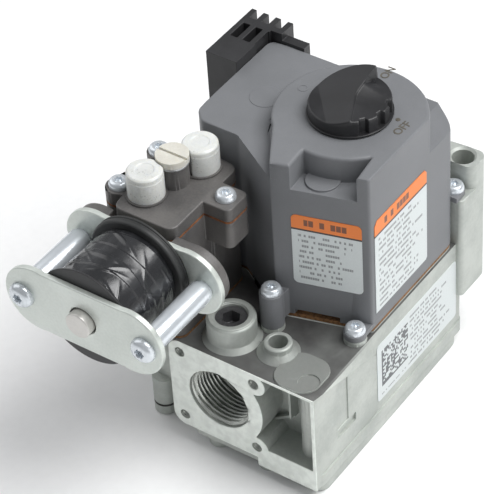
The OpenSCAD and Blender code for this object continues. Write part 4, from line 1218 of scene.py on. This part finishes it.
@dataclass
class ControlKnob:
    """The black selector knob: a wedge that climbs to a pointer, stepped down to the right."""

    xy: tuple[float, float] = (16.2, 70.0)
    base_z: float = 96.4
    lip_r: float = 16.0
    lip_h: float = 0.9
    wall_r: float = 15.35
    rim_h: float = 7.9
    tip_h: float = 11.96
    ridge_x: float = 1.9
    notches: tuple[float, ...] = (-38.0, -9.0, 18.0)

    def outline(self, t: Array) -> Array:
        """Radius of the wall at angle t: the wall radius less a narrow cut at each notch."""
        cut = np.zeros_like(t)
        for angle in self.notches:
            gap = np.abs(np.mod(t - math.radians(angle) + np.pi, 2 * np.pi) - np.pi)
            cut = np.maximum(cut, 1.0 - ease(gap, math.radians(4.0), math.radians(7.5)))
        return self.wall_r - 1.5 * cut

    def crown(self, x: Array, y: Array) -> Array:
        """Height of the top over (x, y).

        Left of the ridge it is the plane a + bx + cy through the left rim, the ridge's front end and
        the pointer's tip. Right of it the height drops by a step and falls in a hollow to the rim.
        """
        plane = np.minimum(8.2 + 0.2375 * x + 0.205 * y, self.tip_h)
        ridge = self.ridge_x + 0.47 * np.logaddexp(0.0, 1.0 - y)
        crest = np.minimum(8.2 + 0.2375 * ridge + 0.205 * y, self.tip_h)
        s = np.clip((x - ridge) / (self.wall_r - ridge), 0.0, 1.0)
        low = self.rim_h - 1.3
        shelf = low + np.maximum(crest - 0.45 - low, 0.0) * (1.0 - s) ** 1.4 * (1.0 - ease(y, 5.5, 12.5))
        right = ease(x - ridge, -0.1, 0.55)
        top = plane * (1.0 - right) + np.minimum(shelf, plane) * right
        return np.maximum(top, low - 1.6)

    def build(self, shop: Workshop) -> None:
        """Makes the knob."""
        t = np.linspace(0.0, 2 * np.pi, 360, endpoint=False)
        wall = self.outline(t)
        edge = self.crown(wall * np.cos(t), wall * np.sin(t))
        one = np.ones_like(t)
        rows = [
            (0 * one, 0 * one), (0.6 * self.lip_r * one, 0 * one), ((self.lip_r - 0.25) * one, 0 * one),
            (self.lip_r * one, 0.25 * one), (self.lip_r * one, (self.lip_h - 0.2) * one),
            ((self.lip_r - 0.2) * one, self.lip_h * one),
            (np.minimum(wall, self.lip_r - 0.3) + 0.05, (self.lip_h + 0.02) * one),
        ]
        rows += [(wall, self.lip_h + 0.2 + (edge - 0.7 - self.lip_h - 0.2) * k) for k in np.linspace(0, 1, 6)]
        rows += [(wall - 0.1, edge - 0.4), (wall - 0.3, edge - 0.12)]
        for share in np.linspace(1.0, 0.0, 70):
            r = (wall - 0.6) * share
            rows.append((r, self.crown(r * np.cos(t), r * np.sin(t))))
        grid = self.upright(rows, t)
        shop.fit(
            lattice(grid, False, True).place("control_knob_worked", 42), "knob", "black_plastic",
            KNOB_PLASTIC, "control_knob",
        )

    def upright(self, rows: Sequence[tuple[Array, Array]], t: Array) -> Array:
        """Places (radius, height) rows with angle 0 along +X and 90 degrees along +Y."""
        return np.stack([
            np.stack([self.xy[0] + r * np.cos(t), self.xy[1] + r * np.sin(t), self.base_z + h], -1)
            for r, h in rows
        ])


@dataclass
class RegulatorTower:
    """The dark regulator casting, its caps and its plug."""

    mid_xy: tuple[float, float] = (-31.2, 24.4)
    top_z: float = 76.0
    bore_xz: tuple[float, float] = (-26.3, 60.0)
    bore_zone: float = 8.0
    row: tuple[float, float] = (4.059, 11.611)
    cap_r: float = 7.0
    bite_r: float = 6.7

    def base_share(self, p: Array) -> Array:
        """Gives the edges round the stage plunger's bore next to nothing of a 0.7 mm rounding."""
        away = np.hypot(p[:, 0] - self.bore_xz[0], p[:, 2] - self.bore_xz[1])
        return np.where(away < self.bore_zone, 0.1, 0.7)

    def housing_share(self, p: Array) -> Array:
        """Gives each edge of the housing its share of a 0.8 mm rounding."""
        share = np.full(len(p), 0.7)
        share[p[:, 2] < self.top_z - 0.4] = 0.35
        share[p[:, 2] > self.top_z + 0.5] = 0.4
        return share

    def cap(self, node: str) -> bpy.types.Object:
        """A thin moulded cap: a cup turned about its axis, with a ring on its crown.

        Each radius r at angle t is kept under the distance at which the ray leaves the cap's middle
        and meets the bite round the centre turret: d cos(a) - sqrt(R^2 - d^2 sin^2(a)).

        Args:
            node: The CAD cap.

        Returns:
            The cap.
        """
        low, high = (np.array(c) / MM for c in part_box(node))
        bite, skirt = self.bite_r, self.cap_r
        top, foot = high[2], low[2]
        centre = self.cap_centre(node)
        t = np.linspace(0.0, 2 * np.pi, 240, endpoint=False)
        gap = np.array(self.mid_xy) - centre
        d, turn = float(np.hypot(*gap)), t - math.atan2(gap[1], gap[0])
        inside = bite**2 - (d * np.sin(turn)) ** 2
        ray = np.where(
            (inside > 0) & (np.cos(turn) > 0), d * np.cos(turn) - np.sqrt(np.maximum(inside, 0.0)), 99.0,
        )
        outer = [
            (skirt, foot), (skirt, top - 2.6), (skirt - 0.12, top - 2.5), (skirt - 0.15, top - 0.7),
            (skirt - 0.9, top - 0.06), (4.9, top - 0.05), (4.6, top), (3.7, top), (3.4, top - 0.3),
            (0.0, top - 0.32),
        ]
        inner = [(0.0, top - 0.95), (skirt - 1.3, top - 0.95), (skirt - 1.3, foot)]
        profile = rounded_profile(outer + inner, 0.3, 4)
        rows = []
        for r, h in profile:
            reach = np.minimum(r, ray - (0.0 if r > skirt - 1.0 else 0.3))
            rows.append(
                np.stack(
                    [centre[0] + reach * np.cos(t), centre[1] + reach * np.sin(t), np.full_like(t, h)], -1,
                )
            )
        return lattice(np.stack(rows), True, True).place(node + "_worked", 40)

    def cap_centre(self, node: str) -> Array:
        """Returns a cap's middle: a row pitch to either side of the centre turret."""
        side = -1.0 if node == "high_cap" else 1.0
        return np.array(self.mid_xy) + side * np.array(self.row)

    def build(self, shop: Workshop) -> None:
        """Makes and dresses the regulator's pieces."""
        base = worked_copy("regulator_base", 0.7, self.base_share)
        shop.fit(base, "body", "cast_regulator", DARK_CAST, "regulator_base")
        housing = worked_copy("regulator_housing", 0.8, self.housing_share)
        shop.fit(housing, "body", "cast_regulator", DARK_CAST, "regulator_housing")
        for node, body in (("high_cap", "cap_high"), ("low_cap", "cap_low")):
            shop.fit(self.cap(node), body, "milky_plastic", MILKY_PLASTIC, node)
        shop.fit(
            worked_copy("centre_plug", 0.5, split=True), "plug", "natural_plastic", CREAM_PLASTIC,
            "centre_plug",
        )
        collar = rounded_profile([(5.85, 85.2), (6.35, 85.2), (6.35, 85.95), (5.85, 85.95)], 0.15, 3, True)
        shop.fit(
            turned(collar, (*self.mid_xy, 0.0), sides=96, loop=True).place("turret_collar"), "body",
            "steel", STEEL,
        )


@dataclass
class StageCoil:
    """The taped two-stage coil between its two plated brackets."""

    x: float = -26.3
    z: float = 60.0
    front: float = -37.5
    flange_end: float = -35.9
    tape_end: float = -8.05
    tape_r: float = 18.0
    rear: float = -4.0
    face: float = -40.0
    bolt_x: tuple[float, float] = (-53.3, 0.7)
    spacer_r: float = 4.7
    seed: int = 7

    def tape(self) -> Shape:
        """The wrinkled winding.

        r = R + overlap steps + creases. Each overlap is a smooth rise along y = y0 + k·t, and each
        crease a long Gaussian ridge that lies across the tape at its own angle.

        Returns:
            The shape, closed at both ends down to the bobbin's tube.
        """
        rng = np.random.default_rng(self.seed)
        t = np.linspace(0.0, 2 * np.pi, 300, endpoint=False)[None, :]
        y = np.linspace(self.flange_end + 0.02, self.tape_end, 150)[:, None]
        r = np.full((len(y), t.shape[1]), self.tape_r)
        span = self.tape_end - self.flange_end
        for y0, k, rise in ((0.22, 2.2, 0.32), (0.47, -1.8, -0.28), (0.70, 1.4, 0.3), (0.88, -2.0, -0.25)):
            line = self.flange_end + y0 * span + k * np.sin(t + 5 * y0)
            r = r + rise * ease(y - line, -0.18, 0.18)
        for _ in range(46):
            t0, y0 = rng.uniform(0, 2 * np.pi), rng.uniform(self.flange_end, self.tape_end)
            lean, length, width = rng.uniform(-1.2, 1.2), rng.uniform(3.0, 8.0), rng.uniform(0.35, 0.9)
            a = (np.mod(t - t0 + np.pi, 2 * np.pi) - np.pi) * self.tape_r
            b = y - y0
            along, across = a * math.cos(lean) + b * math.sin(lean), -a * math.sin(lean) + b * math.cos(lean)
            r = r + rng.uniform(0.14, 0.42) * np.exp(-((along / length) ** 2) - (across / width) ** 2)
        r = r + 0.35 * np.sin(3 * t + 0.25 * y) * 0.3 - 0.5 * ease(y, self.tape_end - 2.2, self.tape_end)
        r = np.minimum(r, 19.6)
        body = self.turn(r, y, t)
        ends = [
            self.turn(
                np.full_like(t, 7.0), np.full_like(t, h), t,
            ) for h in (self.flange_end + 0.02, self.tape_end)
        ]
        return lattice(np.vstack([ends[0], body, ends[1]]), True, True)

    def turn(self, r: Array, y: Array, t: Array) -> Array:
        """Points (x + r·cos t, y, z + r·sin t)."""
        r, y, t = np.broadcast_arrays(r, y, t)
        return np.stack([self.x + r * np.cos(t), y, self.z + r * np.sin(t)], -1)

    def build(self, shop: Workshop) -> None:
        """Makes and dresses the coil's pieces."""
        shop.fit(self.tape().place("coil_winding_worked", 60), "body", "tape", TapeVinyl(), "coil_winding")
        centre = (self.x, 0.0, self.z)
        bobbin = rounded_profile(
            [
                (5.4, self.front + 0.02), (21.0, self.front + 0.02), (20.4, self.flange_end - 0.3),
                (19.2, self.flange_end), (6.8, self.flange_end), (6.8, -8.02), (5.4, -8.02),
            ],
            0.4, 4, True,
        )
        shop.fit(
            turned(bobbin, centre, (0, 1, 0), 128, True).place("coil_bobbin_worked"), "body",
            "black_plastic", BLACK_PLASTIC, "coil_bobbin",
        )
        ring = rounded_profile(
            [
                (5.4, -8.0), (20.2, -8.0), (20.8, -7.2), (20.8, -5.9), (20.35, -5.6), (20.35, -5.2),
                (20.8, -4.9), (20.8, self.rear), (5.4, self.rear),
            ],
            0.5, 4, True,
        )
        shop.fit(
            turned(ring, centre, (0, 1, 0), 128, True).place("coil_ring_worked"), "body", "rubber", RUBBER,
            "coil_ring",
        )
        pin = rounded_profile([(0, -43.2), (5.2, -43.2), (5.2, -26.5), (0, -26.5)], 0.55)
        shop.fit(
            turned(pin, centre, (0, 1, 0), 96).place("pole_pin_worked"), "body", "steel", PIN_STEEL,
            "pole_pin",
        )
        self.brackets(shop)

    def brackets(self, shop: Workshop) -> None:
        """The two plates, the bolts through them and the spacers between."""
        for node in ("coil_front_plate", "coil_rear_plate"):
            shop.fit(worked_copy(node, 0.55), "body", "zinc_plate", ZINC_PLATE, node)
        tube = rounded_profile(
            [
                (2.8, self.front), (self.spacer_r, self.front), (self.spacer_r, self.rear - 1.6),
                (3.9, self.rear - 1.2), (3.9, self.rear), (2.8, self.rear),
            ],
            0.35, 4, True,
        )
        left, right = (turned(tube, (x, 0.0, self.z), (0, 1, 0), 96, True) for x in self.bolt_x)
        shop.fit(
            (left + right).place("coil_spacers_worked"), "body", "zinc_plate", ZINC_BRIGHT, "coil_spacers",
        )
        one, two = (
            screw_head(
                (x, self.face - 0.02, self.z), (0, -1, 0), 5.1, 3.1, 1.9, 0.5, (2.45, 44.0), 1.7,
            ) for x in self.bolt_x
        )
        shop.fit((one + two).place("coil_bolts_worked"), "body", "zinc_screw", ZINC_BRIGHT, "coil_bolts")


@dataclass
class Labels:
    """The three printed labels, with plain bars in place of words."""

    side: Triple = (42.7, 43.8, 30.0)
    front_start: tuple[float, float] = (13.65, 33.45)
    face_dir: tuple[float, float] = (0.9649, 0.2626)
    body: Triple = (43.3, 42.6, -15.5)

    def build(self, shop: Workshop) -> None:
        """Dresses the three label nodes."""
        front = PrintedLabel(
            "front_label_print", (*self.front_start, 40.5), (*self.face_dir, 0.0), 26.7, 33.0, 6.2, 2.55,
            seed=3.0,
        )
        side = PrintedLabel("side_label_print", self.side, (0.0, 1.0, 0.0), 35.5, 44.0, 6.4, 2.5, seed=11.0)
        body = PrintedLabel(
            "body_label_print", self.body, (0.0, 1.0, 0.0), 56.9, 29.1, 0.0, 2.35, Print.LINES_AND_BLOCK,
            23.0,
        )
        shop.dress(front, "front_label")
        shop.dress(side, "side_label")
        shop.dress(body, "body_label")


@dataclass
class Springs:
    """The hidden springs, as copies of their CAD nodes."""

    sharp_deg: float = 50.0

    def build(self, shop: Workshop) -> None:
        """Makes a copy of each spring that a joint deforms.

        The share of its length that is left at full travel, 1 - travel / length, is worked out and not used.
        """
        for joint in frame["record"]["behaviour"]["joints"]:
            for entry in joint.get("deforming_nodes", []):
                node, end = entry["node"], entry["fixed_end_z_m"]
                low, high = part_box(node)
                length = max(abs(low[2] - end), abs(high[2] - end))
                mesh = frame["nodes"][node].data.copy()
                spring = settle(node + "_wound", mesh, self.sharp_deg)
                shop.fit(spring, "body", "steel", STEEL, node)
                1.0 - joint["range_m"][1] / length
                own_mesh(spring)


@dataclass
class PlainNodes:
    """CAD nodes whose own shape is kept, with their finishes."""

    groups: tuple[tuple[PlainFinish | GasketFibre, tuple[str, ...]], ...] = (
        (GasketFibre(), ("body_gasket", "regulator_gasket")),
        (ORANGE_RUBBER, ("regulator_diaphragm",)),
        (DARK_RUBBER, ("main_diaphragm",)),
        (RUBBER, ("main_valve_disc", "safety_valve_disc", "shaft_seal")),
        (COPPER, ("safety_coil", "operator_coil")),
        (ZINC_PLATE, ("top_plate", "safety_frame", "operator_frame", "terminal_pins")),
        (BLACK_PLASTIC, ("safety_switch",)),
        (NATURAL_PLASTIC, ("switch_cam", "switch_button", "high_adjuster", "low_adjuster")),
    )

    def build(self, shop: Workshop) -> None:
        """Dresses them, and gives steel to whatever is left."""
        for finish, nodes in self.groups:
            shop.dress(finish, *nodes)
        rest = sorted(set(frame["nodes"]) - shop.dressed)
        shop.dress(STEEL, *rest)


# ------------------------------------------------------------------ studio
@dataclass
class Studio:
    """Camera, lights and floor."""

    eye: Triple = (0.41585939, -0.52498756, 0.67492826)
    right: Triple = (0.8235309, 0.56502779, -0.0504029)
    up: Triple = (-0.34698447, 0.57203047, 0.74322467)
    forward: Triple = (-0.44877459, 0.59457946, -0.66714064)
    lens: float = 183.083
    floor_z: float = -0.0312
    sky_power: float = 0.30
    aim: Triple = (0.0, 0.05, 0.04)
    lamps: tuple[tuple[str, Triple, float, float], ...] = (
        ("key", (0.55, 0.30, 1.15), 0.9, 19.0),
        ("fill", (-1.0, 0.05, 0.85), 1.2, 5.0),
        ("side", (1.15, -0.15, 0.28), 0.9, 2.3),
    )

    def build(self, shop: Workshop) -> None:
        """Makes the camera, the lights, the sky and the floor."""
        data = bpy.data.cameras.new("camera")
        data.lens, data.sensor_width, data.clip_start, data.clip_end = self.lens, 36.0, 0.05, 50.0
        camera = bpy.data.objects.new("camera", data)
        bpy.context.scene.collection.objects.link(camera)
        turn = Matrix((self.right, self.up, tuple(-c for c in self.forward))).transposed()
        camera.matrix_world = Matrix.Translation(self.eye) @ turn.to_4x4()
        bpy.context.scene.camera = camera
        for lamp in self.lamps:
            self.light(*lamp)
        self.sky()
        self.floor(shop)
        bpy.context.scene.view_settings.view_transform = "Standard"

    def light(self, name: str, where: Triple, size: float, power: float) -> None:
        """A square soft light aimed at the valve.

        Args:
            name: Its name.
            where: Its place in metres.
            size: Its side in metres.
            power: Its power in watts.
        """
        data = bpy.data.lights.new(name, "AREA")
        data.energy, data.size = power, size
        lamp = bpy.data.objects.new(name, data)
        bpy.context.scene.collection.objects.link(lamp)
        lamp.location = where
        aim = Vector(self.aim) - Vector(where)
        lamp.rotation_euler = aim.to_track_quat("-Z", "Y").to_euler()

    def sky(self) -> None:
        """A plain pale surround."""
        world = bpy.data.worlds.new("surround")
        world.use_nodes = True
        back = world.node_tree.nodes["Background"]
        back.inputs[0].default_value = (0.95, 0.97, 1.0, 1.0)
        back.inputs[1].default_value = self.sky_power
        bpy.context.scene.world = world

    def floor(self, shop: Workshop) -> None:
        """A wide pale floor that the valve stands on."""
        span = np.linspace(-4000.0, 4000.0, 9)
        x, y = np.meshgrid(span, span, indexing="ij")
        grid = np.stack([x, y, np.full_like(x, self.floor_z / MM)], -1)
        floor = lattice(grid, False, False).place("studio_floor")
        finish = PlainFinish(
            "floor_paper", (0.86, 0.86, 0.86), (0.90, 0.90, 0.90), roughness=0.8, rough_spread=0.1,
            blotch=3.0, grain=300.0, relief=0.05, relief_strength=0.1,
        )
        floor.data.materials.append(shop.finishes.get(finish))


ORDER = (
    Studio, BodyCasting, ElectronicsCover, ControlKnob, RegulatorTower, StageCoil, ScrewSet, Labels,
    Springs, PlainNodes,
)


def main() -> None:
    """Builds the valve's looks in order."""
    logging.basicConfig(level=logging.INFO, format="%(name)s: %(message)s")
    shop = Workshop()
    for kind in ORDER:
        part = kind()
        LOG.info("building %s", type(part).__name__)
        part.build(shop)


if __name__ == "__main__":
    main()
